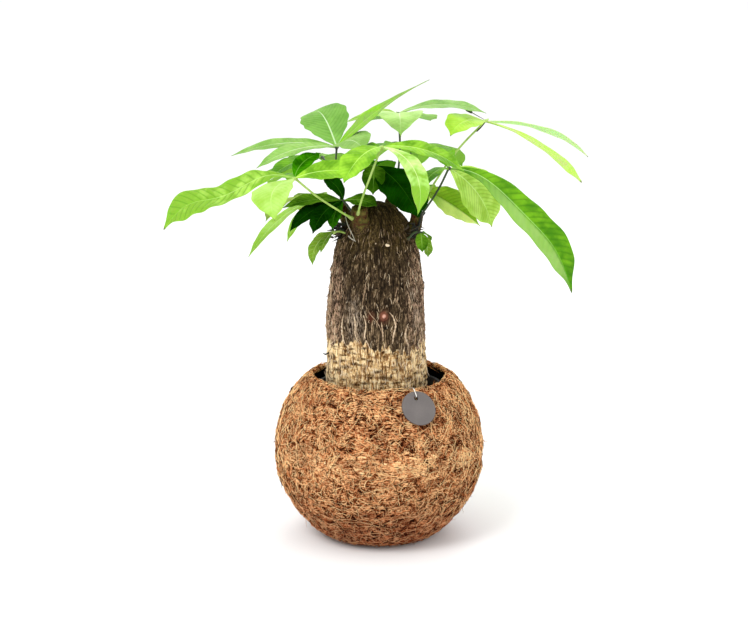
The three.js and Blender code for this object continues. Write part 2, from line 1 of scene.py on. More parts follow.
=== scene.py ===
"""The looks of a potted money tree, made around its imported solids.

Every new piece is a surface worked out as whole numpy arrays in millimetres, in the solids' frame:
+Z up, the origin on the floor under the middle of the ball, +X to the right, -Y towards the camera.
"""

import math

import bpy
import numpy as np
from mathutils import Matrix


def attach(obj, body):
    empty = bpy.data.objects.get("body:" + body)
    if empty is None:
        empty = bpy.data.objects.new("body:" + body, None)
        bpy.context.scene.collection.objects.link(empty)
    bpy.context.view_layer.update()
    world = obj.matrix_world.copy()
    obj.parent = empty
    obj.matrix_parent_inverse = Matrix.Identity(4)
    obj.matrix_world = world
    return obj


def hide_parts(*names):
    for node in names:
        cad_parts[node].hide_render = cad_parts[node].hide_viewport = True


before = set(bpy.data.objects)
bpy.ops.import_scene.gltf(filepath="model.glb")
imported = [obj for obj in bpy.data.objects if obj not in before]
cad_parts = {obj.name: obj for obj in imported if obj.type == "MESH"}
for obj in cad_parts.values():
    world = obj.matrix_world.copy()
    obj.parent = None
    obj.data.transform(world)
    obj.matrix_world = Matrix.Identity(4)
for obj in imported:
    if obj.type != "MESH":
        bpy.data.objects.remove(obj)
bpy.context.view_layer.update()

bl_info = {
    "name": "Potted money tree",
    "version": (1, 0, 0),
    "blender": (4, 5, 0),
    "location": "View3D > Sidebar > Plant",
    "description": "Builds a money tree in a coconut-fibre ball around its solids",
    "category": "Object",
}

MM = 0.001
TURN = 2 * math.pi

# The solids' own sizes, in millimetres.
BALL_RADIUS = 100.5
BALL_CENTRE_Z = 87
BALL_HEIGHT = 160
BALL_FOOT_RADIUS = 44
BALL_WALL = 5.5
RIM_WALL = 5
RIM_WAVE = 1.6
POT_FOOT_Z = 5.8
POT_HEIGHT = 144
POT_TOP_RADIUS = 60
POT_FOOT_RADIUS = 43
POT_WALL = 1.4
POT_LIP_HEIGHT = 8
SOIL_TOP_Z = 136
TRUNK_X = -3
TRUNK_TOP_Z = 326
BARK_RIDGES = 20
RIDGE_HEIGHT = 0.75
TAG_RADIUS = 16.9
TAG_THICKNESS = 1.6
TAG_HOLE_RADIUS = 2
TAG_HOLE_DROP = 6.9
TAG_ANGLE = math.radians(-64.3)
TAG_SLOPE = math.radians(34.6)
TAG_CLEAR = 1.4
WIRE_RADIUS = 0.5
STALK_RADIUS = 1
STALK_FOOT_RADIUS = 2.1
SEAT_GAP = 0.3

# The stump's radius where distances round its bark are meant.
STUMP_REACH = 47

# The strength of highlights on fibre and bark, which are nearly dull.
DULL = 0.02

# The camera fitted to the photograph: its place in metres, the degrees that it looks down, and
# its lens and sensor. The lights are turned to the place on the plant's axis that follows.
EYE = (-0.005, -1.75, 0.599966)
EYE_TILT = 12.5
LENS = 89.31
SENSOR_WIDTH = 36
LIT_PLACE = (0, 0, 0.25)

TRUNK_PROFILE = [
    (0, 72), (24, 75), (36, 88), (44, 110), (48, 130), (49.4, 146), (49.4, 160), (48.4, 176),
    (48, 196), (47.8, 216), (46.8, 236), (45.2, 254), (42.8, 271), (39.8, 286), (35.6, 299),
    (30.6, 309), (24.5, 318), (17, 325), (0, 326),
]

# Each shoot: the points it runs through, and its radius at the foot and at the top.
SHOOTS = {
    "shoot_left": ([(-10, -14, 296), (-17, -26, 310), (-19, -33, 328)], (10, 7.5)),
    "shoot_right": ([(20, -4, 284), (32, -7, 300), (37, -8, 322)], (7.5, 5.2)),
    "shoot_back_left": ([(-20, 6, 296), (-30, 12, 308), (-37, 15, 326)], (8, 5.4)),
    "shoot_back": ([(4, 10, 306), (10, 20, 319), (15, 25, 336)], (7.5, 5.2)),
}


def leaflet(tip, width, arch, roll=0.0, green=None, **shape):
    """One leaflet for the table: its own green, if it has one, and its values for
    leaflet_blade()."""
    return green, dict(tip=tip, width=width, arch=arch, roll=roll, **shape)


# Each leaf: the slot and the green of its blades, the look of its stalk, the stalk's points, the
# hub, and the leaflets.
LEAVES = {
    "leaf_front_left": (
        "leaf_light", "light", "stalk_green",
        [(-25, -37, 318), (-38, -44, 327), (-58, -60, 343)], (-77.5, -70, 361),
        [
            leaflet((-199.3, -60, 311.5), 36, 42.5, -33, sag=1.4, bow=-4, dip=4.6,
                    wave=2.7, ripples=1.9, phase=-0.58, blunt=0.62, relief=0.7, green="striped"),
            leaflet((-92.8, -126, 330.9), 39, 75, 10.7, sag=2.48, bow=-8.6, green="lime"),
            leaflet((-20, -76, 367), 26, 34, 34, green="fresh"),
            leaflet((-54.7, -32.5, 379.4), 17.6, 25.5, 16.7, bow=4.5, green="shade"),
            leaflet((-104, -5, 345), 18, 30, -14, green="mid"),
        ],
    ),
    "leaf_top_left": (
        "leaf_pale", "pale", "stalk_dark",
        [(-36, 13, 322), (-38, 6, 340), (-41, -4, 362)], (-40, -16, 383),
        [
            leaflet((-63, 32, 411), 46, 66, -20, sag=2.4, cup=0.08, wave=0.3,
                    blunt=0.9, green="round"),
            leaflet((45, -66, 450), 19, 20, 50, twist=-20, blunt=2.8, green="long"),
            leaflet((-141, 10, 371), 18, 34, -22),
            leaflet((-114, -40, 366), 20, 44, -18),
            leaflet((-14, -66, 386), 34, 60, 22, sag=1.3),
        ],
    ),
    "leaf_front_centre": (
        "leaf_light", "fresh", "stalk_green",
        [(-20, -37, 322), (-17, -50, 336), (-8, -58, 362)], (2, -64, 389),
        [
            leaflet((-32, -108, 362), 30, 60, -10),
            leaflet((34, -108, 333), 20, 82, 10, bow=9, green="bright"),
            leaflet((79, -54, 364), 24, 50, 26),
            leaflet((-38, -38, 366), 26, 50, -20, green="mid"),
            leaflet((36, -16, 374), 28, 34, 10, green="mid"),
        ],
    ),
    "leaf_top_centre": (
        "leaf_pale", "pale", "stalk_dark",
        [(15, 24, 331), (18, 28, 350), (20, 34, 380)], (18, 34, 409),
        [
            leaflet((-32, 60, 398), 26, 20, -16, green="light"),
            leaflet((20, -26, 393), 44, 80, sag=2.4, blunt=1.5, green="glass"),
            leaflet((103, 34, 409), 18, 46, 20, green="grey"),
            leaflet((52, 116, 393), 36, 8, green="glass"),
            leaflet((-10, 120, 392), 36, 8),
        ],
    ),
    "leaf_top_right": (
        "leaf_light", "lime", "stalk_green",
        [(38, -4, 318), (44, 10, 330), (76, 44, 372)], (104, 60, 399),
        [
            leaflet((67, 0, 391), 32, 54, -16, sag=2.4, green="citrus"),
            leaflet((205, 60, 363.2), 14.3, 42.8, -23.6, sag=1.62, blunt=0.86, green="mint"),
            leaflet((194.5, 18, 344.2), 13, 35, 15.3, blunt=0.36, green="yellow"),
            leaflet((80, 142, 381), 34, 16),
        ],
    ),
    "leaf_right": (
        "leaf_mid", "mid", "stalk_dark",
        [(38, -10, 315), (46, -10, 326), (57, -6, 343)], (66, -2, 361),
        [
            leaflet((179, -60, 252), 35, 70, 29, bow=-6, dip=3, cup=0.2, blunt=0.77,
                    relief=0.7, green="sheen"),
            leaflet((108, 4, 303), 52, 48, 50, bow=-5, blunt=1.2, relief=0.7, green="glow"),
            leaflet((54, 40, 377), 26, 30),
            leaflet((38, -44, 346), 17, 56),
            leaflet((114, 40, 342), 26, 20),
        ],
    ),
    "leaf_right_low": (
        "leaf_mid", "glow", "stalk_dark",
        [(36, -1, 308), (43, 6, 320)], (42, 20, 338),
        [
            leaflet((98, 22, 301), 33, 22, 42, blunt=1.5, relief=0.6, green="halved"),
            leaflet((90, 84, 304), 36, 50),
            leaflet((36, 104, 302), 38, 54),
        ],
    ),
    "leaf_centre_shade": (
        "leaf_dark", "dark", "stalk_dark",
        [(12, 18, 326), (5, 14, 336), (-1, 10, 350)], (-4, 6, 362),
        [
            leaflet((37, -48, 320), 46, 46, 12),
            leaflet((-6, -34, 340), 22, 66, green="olive"),
            leaflet((-42, -8, 350), 18, 30, -14, green="olive"),
            leaflet((-32, 78, 338), 30, 50, green="shade"),
            leaflet((6, 90, 338), 28, 50, green="shade"),
        ],
    ),
    "leaf_left_shade": (
        "leaf_dark", "shade", "stalk_dark",
        [(-21, -29, 316), (-27, -27, 325)], (-34, -22, 333),
        [
            leaflet((-91, -22, 326), 28, 34, -12, green="olive"),
            leaflet((-2, -36, 330), 22, 40, 20, green="olive"),
            leaflet((-84, -36, 306), 22, 50, -20, green="dark"),
            leaflet((-62, -50, 306), 22, 66, -10, green="dark"),
            leaflet((-44, -38, 308), 14, 70, -6),
            leaflet((-54, -15, 354), 16, 70, -34, green="dark"),
        ],
    ),
    "leaf_left_low": (
        "leaf_light", "veined", "stalk_green",
        [(-38, 16, 318), (-46, 20, 325)], (-58, 22, 330),
        [
            leaflet((-125, -8, 276), 15, 44, -14, green="lime"),
            leaflet((-88, -8, 291), 11, 40, -10, green="lime"),
            leaflet((-112, 56, 300), 32, 56),
            leaflet((-74, 92, 300), 34, 56),
        ],
    ),
    "leaf_left_young": (
        "leaf_mid", "veined", "stalk_green",
        [(-28, -16, 299), (-37, -20, 303)], (-43, -22, 303),
        [
            leaflet((-63, -26, 272), 15, 88, -30),
            leaflet((-60, 4, 284), 16, 60),
            leaflet((-55, -38, 286), 9, 70),
        ],
    ),
    "leaf_right_young": (
        "leaf_mid", "mid", "stalk_dark",
        [(27, -20, 296), (34, -24, 303)], (39, -26, 303),
        [
            leaflet((46, -30, 280), 14, 50, 10, green="veined"),
            leaflet((48, -20, 293), 11, 100, 10, green="olive"),
            leaflet((40, -48, 288), 12, 60, green="olive"),
        ],
    ),
    "leaf_back_left": (
        "leaf_mid", "mid", "stalk_dark",
        [(-35, 17, 321), (-40, 34, 340), (-50, 56, 356)], (-56, 70, 362),
        [
            leaflet((-122, 96, 330), 36, 44),
            leaflet((-94, 146, 326), 40, 52),
            leaflet((-36, 144, 332), 38, 56),
            leaflet((-108, 44, 344), 28, 44, -8),
        ],
    ),
    "leaf_back": (
        "leaf_mid", "mid", "stalk_dark",
        [(17, 27, 329), (28, 44, 346), (31, 70, 364)], (32, 90, 371),
        [
            leaflet((-20, 158, 338), 38, 50),
            leaflet((36, 176, 334), 40, 54),
            leaflet((86, 146, 342), 38, 50),
            leaflet((-26, 96, 358), 28, 44),
        ],
    ),
}


# Sums on whole arrays.


def smooth(low, high, x):
    """0 below low, 1 above high, and a smooth step between."""
    t = np.clip((np.asarray(x, float) - low) / (high - low), 0, 1)
    return t * t * (3 - 2 * t)


def unit(v):
    """The same directions with length 1."""
    return v / np.maximum(np.linalg.norm(v, axis=-1, keepdims=True), 1e-9)


def hill(x, width):
    """1 at 0, falling to nothing over about twice the width."""
    return np.exp(-((x / width) ** 2))


def noise(around, up, cells_around, cells_up, seed):
    """Smooth noise from -1 to 1 over around and up, each from 0 to 1: random values on a lattice,
    blended with a smooth step. It joins up with itself in the first direction."""
    table = np.random.default_rng(seed).uniform(-1, 1, (cells_around, cells_up + 2))
    x = (np.asarray(around, float) % 1) * cells_around
    y = np.clip(up, 0, 1) * cells_up
    i, j = np.floor(x).astype(int), np.floor(y).astype(int)
    fx, fy = smooth(0, 1, x - i), smooth(0, 1, y - j)
    i, beside = i % cells_around, (i + 1) % cells_around
    below = table[i, j] * (1 - fx) + table[beside, j] * fx
    above = table[i, j + 1] * (1 - fx) + table[beside, j + 1] * fx
    return below * (1 - fy) + above * fy


def triples(*parts):
    """Arrays or numbers whose shapes go together, as one array of triples."""
    return np.stack(np.broadcast_arrays(*parts), -1)


def polar(radius, angle, z):
    """Points by their distance from the axis, angle and height."""
    return triples(radius * np.cos(angle), radius * np.sin(angle), z)


def circle(sides):
    """The angles of so many places all round."""
    return np.linspace(0, TURN, sides, endpoint=False)


def wrapped(angle):
    """The same direction as an angle of at most half a turn either way."""
    return np.angle(np.exp(1j * angle))


def distance_along(line):
    """How far along a line each of its points lies."""
    return np.concatenate([[0], np.cumsum(np.linalg.norm(np.diff(line, axis=0), axis=1))])


def curve_through(points, count, closed=False):
    """A smooth curve through the points, as count points the same distance apart: in each span a
    cubic whose end slopes come from the neighbouring points, weighted by the root of their
    distances."""
    p = np.asarray(points, float)
    if closed:
        p = np.vstack([p[-1], p, p[:2]])
    else:
        p = np.vstack([2 * p[0] - p[1], p, 2 * p[-1] - p[-2]])
    before, start, end, after = p[:-3], p[1:-2], p[2:-1], p[3:]
    gaps = np.sqrt(np.linalg.norm(np.diff(p, axis=0), axis=1))[:, None]
    g0, g1, g2 = gaps[:-2], gaps[1:-1], gaps[2:]
    slope0 = g1 * ((start - before) / g0 - (end - before) / (g0 + g1) + (end - start) / g1)
    slope1 = g1 * ((end - start) / g1 - (after - start) / (g1 + g2) + (after - end) / g2)
    t = np.linspace(0, 1, 60, endpoint=False)[None, :, None]
    start, end, slope0, slope1 = (a[:, None, :] for a in (start, end, slope0, slope1))
    cubic = (
        start
        + slope0 * t
        + (3 * (end - start) - 2 * slope0 - slope1) * t**2
        + (2 * (start - end) + slope0 + slope1) * t**3
    )
    line = np.vstack([cubic.reshape(-1, p.shape[1]), p[-2]])
    run = distance_along(line)
    wanted = np.linspace(0, run[-1], count, endpoint=not closed)
    return np.stack([np.interp(wanted, run, line[:, k]) for k in range(p.shape[1])], -1)


# Surfaces.


def grid_faces(rows, columns):
    """The quads between neighbouring rows and columns. The last column joins the first."""
    r, c = np.meshgrid(np.arange(rows - 1), np.arange(columns), indexing="ij")
    here, beside = r * columns + c, r * columns + (c + 1) % columns
    return np.stack([here, beside, beside + columns, here + columns], -1).reshape(-1, 4)


def closed_faces(rows, columns):
    """The quads of a grid whose last row and column join the first ones."""
    return grid_faces(rows + 1, columns) % (rows * columns)


def repeated(faces, count, points):
    """The same faces for each of count copies that have so many points each."""
    starts = np.arange(count) * points
    return (faces + starts[:, None, None]).reshape(-1, faces.shape[1])


def fan_faces(ring, centre, flip=False):
    """The triangles from a closed ring of point numbers to one centre."""
    beside = np.roll(ring, -1)
    pair = (beside, ring) if flip else (ring, beside)
    return np.stack([*pair, np.full(len(ring), centre)], -1)


def capped_faces(rows, sides):
    """The faces of a tube of closed rings, whose two ends are closed by fans to two more points."""
    ring, count = np.arange(sides), rows * sides
    return [
        grid_faces(rows, sides),
        fan_faces(ring, count, flip=True),
        fan_faces(ring + count - sides, count + 1),
    ]


def tube_rings(path, radius, sides):
    """Rings of points round a path: at each step a circle, or with a radius for each point of a
    ring any outline, across the path's direction."""
    along = unit(np.gradient(path, axis=0))
    chord = path[-1] - path[0]
    aside = np.eye(3)[np.argmin(np.abs(chord))]
    u = unit(np.cross(aside, along))
    w = np.cross(along, u)
    angle = circle(sides)[None, :, None]
    radius = np.broadcast_to(np.asarray(radius, float).reshape(len(path), -1), (len(path), sides))
    spoke = np.cos(angle) * u[:, None, :] + np.sin(angle) * w[:, None, :]
    return path[:, None, :] + radius[..., None] * spoke


def add_object(name, data):
    """A new object in the scene."""
    thing = bpy.data.objects.new(name, data)
    bpy.context.scene.collection.objects.link(thing)
    return thing


class Surfaces:
    """The surfaces of one piece, gathered as arrays in millimetres and written to one mesh."""

    def __init__(self):
        self.points, self.corners, self.sizes, self.finishes = [], [], [], []
        self.values, self.count = {}, 0

    def add(self, points, faces, finish=0, **values):
        """points is (n, 3); faces is a list of (m, 3) or (m, 4) arrays of point numbers; finish is
        the number of the material; values are vectors for the material, one or one per point."""
        points = np.asarray(points, float).reshape(-1, 3)
        for block in faces:
            self.corners.append(block.ravel() + self.count)
            self.sizes.append(np.full(len(block), block.shape[1]))
            self.finishes.append(np.full(len(block), finish))
        for name, value in values.items():
            value = np.asarray(value, float)
            if value.ndim == 1:
                value = np.broadcast_to(value, points.shape)
            self.values.setdefault(name, []).append((self.count, value))
        self.points.append(points)
        self.count += len(points)

    def add_tube(self, path, radius, sides, finish=0, **values):
        """A closed tube along a path, with a point in the middle of each end."""
        rings = tube_rings(path, radius, sides)
        points = np.vstack([rings.reshape(-1, 3), path[0], path[-1]])
        self.add(points, capped_faces(len(path), sides), finish, **values)

    def add_turned(self, points, finish=0, **values):
        """A turned surface from rows of points round an axis, from the bottom pole to the top one.
        The first and last rows are drawn together to one point each."""
        rows, sides = points.shape[:2]
        points, *values_there = (
            np.vstack([v[1:-1].reshape(-1, 3), v[0].mean(0), v[-1].mean(0)])
            for v in (points, *values.values())
        )
        self.add(points, capped_faces(rows - 2, sides), finish, **dict(zip(values, values_there)))

    def piece(self, name, materials, slot, *nodes, sharp=None):
        """Writes the mesh, and says which body and nodes the piece belongs to. The slot is not used.
        """
        mesh = bpy.data.meshes.new(name)
        corners, sizes = np.concatenate(self.corners), np.concatenate(self.sizes)
        mesh.vertices.add(self.count)
        mesh.vertices.foreach_set("co", (np.vstack(self.points) * MM).ravel())
        mesh.loops.add(len(corners))
        mesh.loops.foreach_set("vertex_index", corners.astype(np.int32))
        mesh.polygons.add(len(sizes))
        starts = np.concatenate([[0], np.cumsum(sizes)[:-1]])
        mesh.polygons.foreach_set("loop_start", starts.astype(np.int32))
        mesh.polygons.foreach_set("material_index", np.concatenate(self.finishes).astype(np.int32))
        mesh.polygons.foreach_set("use_smooth", np.ones(len(sizes), bool))
        mesh.update(calc_edges=True)
        for value_name, blocks in self.values.items():
            whole = np.zeros((self.count, 3), np.float32)
            for start, block in blocks:
                whole[start : start + len(block)] = block
            attribute = mesh.attributes.new(value_name, "FLOAT_VECTOR", "POINT")
            attribute.data.foreach_set("vector", whole.ravel())
        if sharp is not None:
            mesh.set_sharp_from_angle(angle=math.radians(sharp))
        for one in materials:
            mesh.materials.append(one)
        piece = add_object(name, mesh)
        if nodes:
            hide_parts(*nodes)
        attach(piece, "root")


# Materials.


class Signal:
    """What comes out of a node. Sums with it are written as in Python; each adds one Math node."""

    def __init__(self, wiring, socket):
        self.wiring, self.socket = wiring, socket

    def __add__(self, other):
        return self.wiring.math("ADD", self, other)

    def __sub__(self, other):
        return self.wiring.math("SUBTRACT", self, other)

    def __mul__(self, other):
        return self.wiring.math("MULTIPLY", self, other)

    def __truediv__(self, other):
        return self.wiring.math("DIVIDE", self, other)

    def __abs__(self):
        return self.wiring.math("ABSOLUTE", self)


class Wiring:
    """Adds nodes to a tree. An input is a signal or a socket, which is linked, or a plain value."""

    def __init__(self, tree):
        self.tree = tree

    def connect(self, node, inputs):
        """Feeds a node's inputs. A colour is given as three numbers."""
        for key, value in inputs.items():
            socket = node.inputs[key]
            if isinstance(value, Signal):
                value = value.socket
            if isinstance(value, bpy.types.NodeSocket):
                self.tree.links.new(value, socket)
            elif socket.type == "RGBA":
                socket.default_value = (*value, 1.0)
            else:
                socket.default_value = value

    def put(self, kind, inputs=None, **settings):
        """A new node with its settings and inputs."""
        node = self.tree.nodes.new(kind)
        for name, value in settings.items():
            setattr(node, name, value)
        self.connect(node, inputs or {})
        return node

    def math(self, operation, first, second=0.0, clamp=False):
        node = self.put("ShaderNodeMath", {0: first, 1: second}, operation=operation, use_clamp=clamp)
        return Signal(self, node.outputs[0])

    def step(self, value, low, high, bottom=0.0, top=1.0):
        """A smooth step of value from low to high, as a number from bottom to top."""
        node = self.put(
            "ShaderNodeMapRange",
            {"Value": value, "From Min": low, "From Max": high, "To Min": bottom, "To Max": top},
            interpolation_type="SMOOTHSTEP",
        )
        return Signal(self, node.outputs[0])

    def mix(self, share, first, second, blend="MIX"):
        """Two colours blended: share is how much of the second."""
        node = self.put(
            "ShaderNodeMix", {0: share, 6: first, 7: second}, data_type="RGBA", blend_type=blend
        )
        return Signal(self, node.outputs[2])

    def over(self, colour, *layers):
        """A colour with others laid over it in turn: each is (share, colour)."""
        for share, layer in layers:
            colour = self.mix(share, colour, layer)
        return colour

    def ramp(self, value, *stops):
        """A colour ramp with (place, colour) stops."""
        node = self.put("ShaderNodeValToRGB", {0: value})
        elements = node.color_ramp.elements
        while len(elements) < len(stops):
            elements.new(0.5)
        for element, (place, colour) in zip(elements, stops):
            element.position = place
            element.color = (*colour, 1)
        return Signal(self, node.outputs[0])

    def place(self, scale=1.0, turn=(0, 0, 0), shift=(0, 0, 0)):
        """Object coordinates in millimetres, stretched by one number or three, and turned."""
        scale = (np.broadcast_to(scale, 3) / MM).tolist()
        source = self.put("ShaderNodeTexCoord").outputs["Object"]
        inputs = {"Vector": source, "Scale": scale, "Rotation": turn, "Location": shift}
        return self.put("ShaderNodeMapping", inputs).outputs[0]

    def noise(self, scale, detail, rough=0.5, warp=0.0, **placing):
        """Noise over the object; scale and placing are for place()."""
        inputs = {"Vector": self.place(scale, **placing), "Scale": 1.0, "Detail": detail}
        inputs |= {"Roughness": rough, "Distortion": warp}
        return Signal(self, self.put("ShaderNodeTexNoise", inputs).outputs[0])

    def parts(self, vector):
        """The three numbers of a vector."""
        node = self.put("ShaderNodeSeparateXYZ", {0: vector})
        return [Signal(self, output) for output in node.outputs]

    def value(self, name):
        """The three numbers of an attribute of the mesh."""
        node = self.put("ShaderNodeAttribute", attribute_name=name, attribute_type="GEOMETRY")
        return self.parts(node.outputs["Vector"])

    def group(self, name, inputs=None):
        """The outputs of a new node of a group."""
        node = self.put("ShaderNodeGroup", inputs, node_tree=bpy.data.node_groups[name])
        return [Signal(self, output) for output in node.outputs]


class Material(Wiring):
    """The wiring of a new material that has only its Principled BSDF."""

    def __init__(self, name):
        self.material = bpy.data.materials.new(name)
        self.material.use_nodes = True
        super().__init__(self.material.node_tree)
        self.shader = next(node for node in self.tree.nodes if node.type == "BSDF_PRINCIPLED")

    def feed(self, colour, rough, relief=None, gloss=0.5):
        """Feeds the shader and gives the material. relief is the height, strength and distance in
        millimetres of a bump; gloss is the strength of the highlights."""
        inputs = {"Base Color": colour, "Roughness": rough, "Specular IOR Level": gloss}
        if relief:
            height, strength, distance = relief
            bump = {"Height": height, "Strength": strength, "Distance": distance * MM}
            inputs["Normal"] = self.put("ShaderNodeBump", bump).outputs[0]
        self.connect(self.shader, inputs)
        return self.material


def new_group(name, inputs, outputs):
    """An empty shader node group with its sockets: each has a name, a kind and perhaps a value."""
    group = bpy.data.node_groups.new(name, "ShaderNodeTree")
    for direction, sockets in (("INPUT", inputs), ("OUTPUT", outputs)):
        for socket_name, kind, *value in sockets:
            socket = group.interface.new_socket(
                name=socket_name, in_out=direction, socket_type="NodeSocket" + kind
            )
            if value:
                socket.default_value = value[0]
    wiring = Wiring(group)
    return wiring, wiring.put("NodeGroupInput").outputs, wiring.put("NodeGroupOutput")


def tinted(colour, by):
    """A colour with its three numbers multiplied."""
    return [part * by for part in colour]


def blade_group():
    """The look of a leaf blade: two greens drift over it, lines run along the side veins, the
    midrib narrows to the tip, the margin and the tip are darker, and the underside has a flatter
    green of its own. The vein lines are mostly darker than the green, as painted shade in the
    creases along the veins; for a few greens they are paler, the veins' own colour. Hub Deepening
    and Tip Deepening darken the ends, and with the side setting one half is painted paler, in the
    underside's green, as light falling on that half. It reads the attributes blade (vein number,
    millimetres from the midrib, share of the way along) and face (1 above and 0 below, share of
    the way across, a random number)."""
    wiring, given, result = new_group(
        "blade_look",
        [
            *((name, "Color") for name in ("Green", "Deep Green", "Underside", "Vein", "Midrib")),
            ("Vein Strength", "Float"), ("Midrib Width", "Float"), ("Tip Deepening", "Float"),
            ("Hub Deepening", "Float", -0.25), ("Pale Side", "Float"),
        ],
        [("Colour", "Color"), ("Roughness", "Float"), ("Height", "Float")],
    )
    vein_number, off, share = wiring.value("blade")
    upper, across, chance = wiring.value("face")
    far, edge = abs(off), abs(across)
    middle = abs(wiring.math("FRACT", vein_number) - 0.5) * 2.0
    inside = wiring.step(edge, 0.8, 1.0, 1.0, 0.0) * wiring.step(far, 0.3, 1.2)
    line = wiring.step(middle, 0.66, 0.95) * inside
    soft = wiring.step(middle, 0.1, 1.0) * inside
    drift = wiring.noise(0.07, 3.0)
    patch = wiring.noise(0.45, 3.0, 0.6)
    near_hub = wiring.step(share, 0.0, 0.3, 1.0, 0.0) * given["Hub Deepening"]
    near_tip = wiring.step(share, 0.35, 0.9) * given["Tip Deepening"]
    # Painted shade: near the side veins the blend leans to the deeper green, for the creases there.
    blend = wiring.step(drift, 0.3, 0.72) + patch * 0.22 + (chance - 0.75) * 0.6 + soft * 0.14
    blend = wiring.math("ADD", blend + near_tip, near_hub, clamp=True)
    # Painted shade: the vein lines, mostly darker than the green, stand for the shade in the creases
    # along the veins.
    vein_and_crease_share = line * given["Vein Strength"]
    # Painted light: one half of the blade takes the underside's paler green, as a sheen of light on
    # it.
    pale = wiring.step(across * given["Pale Side"], 0.0, 0.25) * wiring.step(share, 0.1, 0.5, 0.0, 0.9)
    pale = pale * wiring.step(drift, 0.35, 0.6, 0.75, 1.0)
    top = wiring.over(
        given["Green"],
        (blend, given["Deep Green"]), (vein_and_crease_share, given["Vein"]), (pale, given["Underside"]),
    )
    below = wiring.over(
        given["Underside"], (blend * 0.45, given["Green"]), (vein_and_crease_share * 0.7, given["Midrib"])
    )
    width = wiring.step(share, 0.1, 1.0, 1.0, 0.25) * given["Midrib Width"]
    rib = wiring.step(far / width, 0.7, 1.3, 1.0, 0.0) * wiring.step(share, 0.6, 0.98, 0.8, 0.2)
    end = share + (patch - 0.5) * 0.04
    dry_tip = (0.05, 0.045, 0.015)
    colour = wiring.over(
        wiring.mix(upper, below, top),
        (rib, given["Midrib"]),
        (wiring.step(edge, 0.94, 1.0, 0.0, 0.4), given["Deep Green"]),
        (wiring.step(end, 0.88, 0.97, 0.0, 0.55), given["Deep Green"]),
        (wiring.step(end, 0.975, 0.995, 0.0, 0.8), dry_tip),
    )
    wiring.connect(result, {
        "Colour": colour,
        "Roughness": wiring.step(upper, 0, 1, 0.6, 0.4) + patch * 0.2,
        "Height": soft * -0.6 + wiring.noise(1.6, 2.0) * 0.25,
    })


def fibre_group():
    """Matted fibre: thin streaks in six directions, laid over each other. Streaks is high on a
    fibre's back and low in the gaps between fibres, where the shell's colour is painted darker as
    shade; Patches is a slow drift for darker places."""
    wiring, _, result = new_group("matted_fibre", [], [("Streaks", "Float"), ("Patches", "Float")])
    turns = [
        (0.2, 0.1, 0.3), (1.3, 0.4, 1.9), (0.7, 1.2, 0.9), (2.1, 0.3, 2.6), (0.4, 2.0, 1.2),
        (1.8, 1.1, 0.1),
    ]
    streaks = 0.0
    for number, turn in enumerate(turns):
        strand = wiring.noise((0.08, 0.9, 0.9), 1.0, warp=0.4, turn=turn, shift=(number * 7.0, 0, 0))
        strand = wiring.step(strand, 0.5, 0.68) * (1.0 - 0.07 * number)
        streaks = wiring.math("MAXIMUM", streaks, strand)
    patches = wiring.noise((0.045, 0.045, 0.06), 4.0, 0.6)
    wiring.connect(result, {"Streaks": streaks, "Patches": patches})


# The coconut-fibre ball.


def ball_radius(z):
    """The ball's outer radius at a height, from the circle that it is cut from."""
    return np.sqrt(BALL_RADIUS**2 - (z - BALL_CENTRE_Z) ** 2)


RIM_RADIUS = float(ball_radius(BALL_HEIGHT))
MOUTH_RADIUS = RIM_RADIUS - RIM_WALL


def coir_lumps(angle, z):
    """Slow swells round the ball: sums of sines of the angle and the height, nil at foot and rim."""
    band = np.sin(np.pi * np.clip(z, 0, BALL_HEIGHT) / BALL_HEIGHT)
    wide = 1.1 * np.sin(3 * angle + 0.045 * z) + 0.8 * np.sin(5 * angle - 0.06 * z + 1.3)
    fine = 0.7 * np.sin(11 * angle + 0.11 * z + 0.4) * np.sin(0.13 * z + 2 * angle)
    return band * (wide + fine)


def rim_wave(angle, z):
    """The hand-cut rim rises and falls by a sum of two sines."""
    near = smooth(BALL_HEIGHT - 30, BALL_HEIGHT, z)
    return near * RIM_WAVE * (0.6 * np.sin(2 * angle + 0.6) + 0.4 * np.sin(5 * angle + 1.9))


def ball_outline():
    """The shell's half outline from the middle of the foot up the outside, over the round rim and
    down the inside to the middle of the floor, as radius, height and distance along."""
    rim_z = BALL_HEIGHT - 2
    half = RIM_WALL / 2
    z = rim_z - (BALL_HEIGHT - 6) * (0.5 + 0.5 * np.cos(np.linspace(0, np.pi, 90)))
    outside = np.stack([ball_radius(z), z], -1)
    turn = np.linspace(0, np.pi, 12)[1:-1]
    over = np.stack([RIM_RADIUS - half + half * np.cos(turn), rim_z + 2 * np.sin(turn)], -1)
    z = np.linspace(rim_z, 11, 60)
    inner = np.minimum(ball_radius(z) - BALL_WALL, MOUTH_RADIUS + (BALL_HEIGHT - z) * 0.8)
    line = np.vstack([
        [(0, 0), (20, 0), (BALL_FOOT_RADIUS - 4, 0), (BALL_FOOT_RADIUS, 0.3)],
        outside, over, np.stack([inner, z], -1),
        [(POT_FOOT_RADIUS + 4, BALL_WALL), (20, BALL_WALL), (0, BALL_WALL)],
    ])
    return line[:, 0], line[:, 1], distance_along(line)


BALL_R, BALL_Z, BALL_RUN = ball_outline()
RIM_RUN = float(BALL_RUN[np.argmax(BALL_Z)])


def run_at_height(z):
    """The distance along the outline at a height on the outside."""
    outside = BALL_RUN <= RIM_RUN
    return np.interp(z, BALL_Z[outside], BALL_RUN[outside])


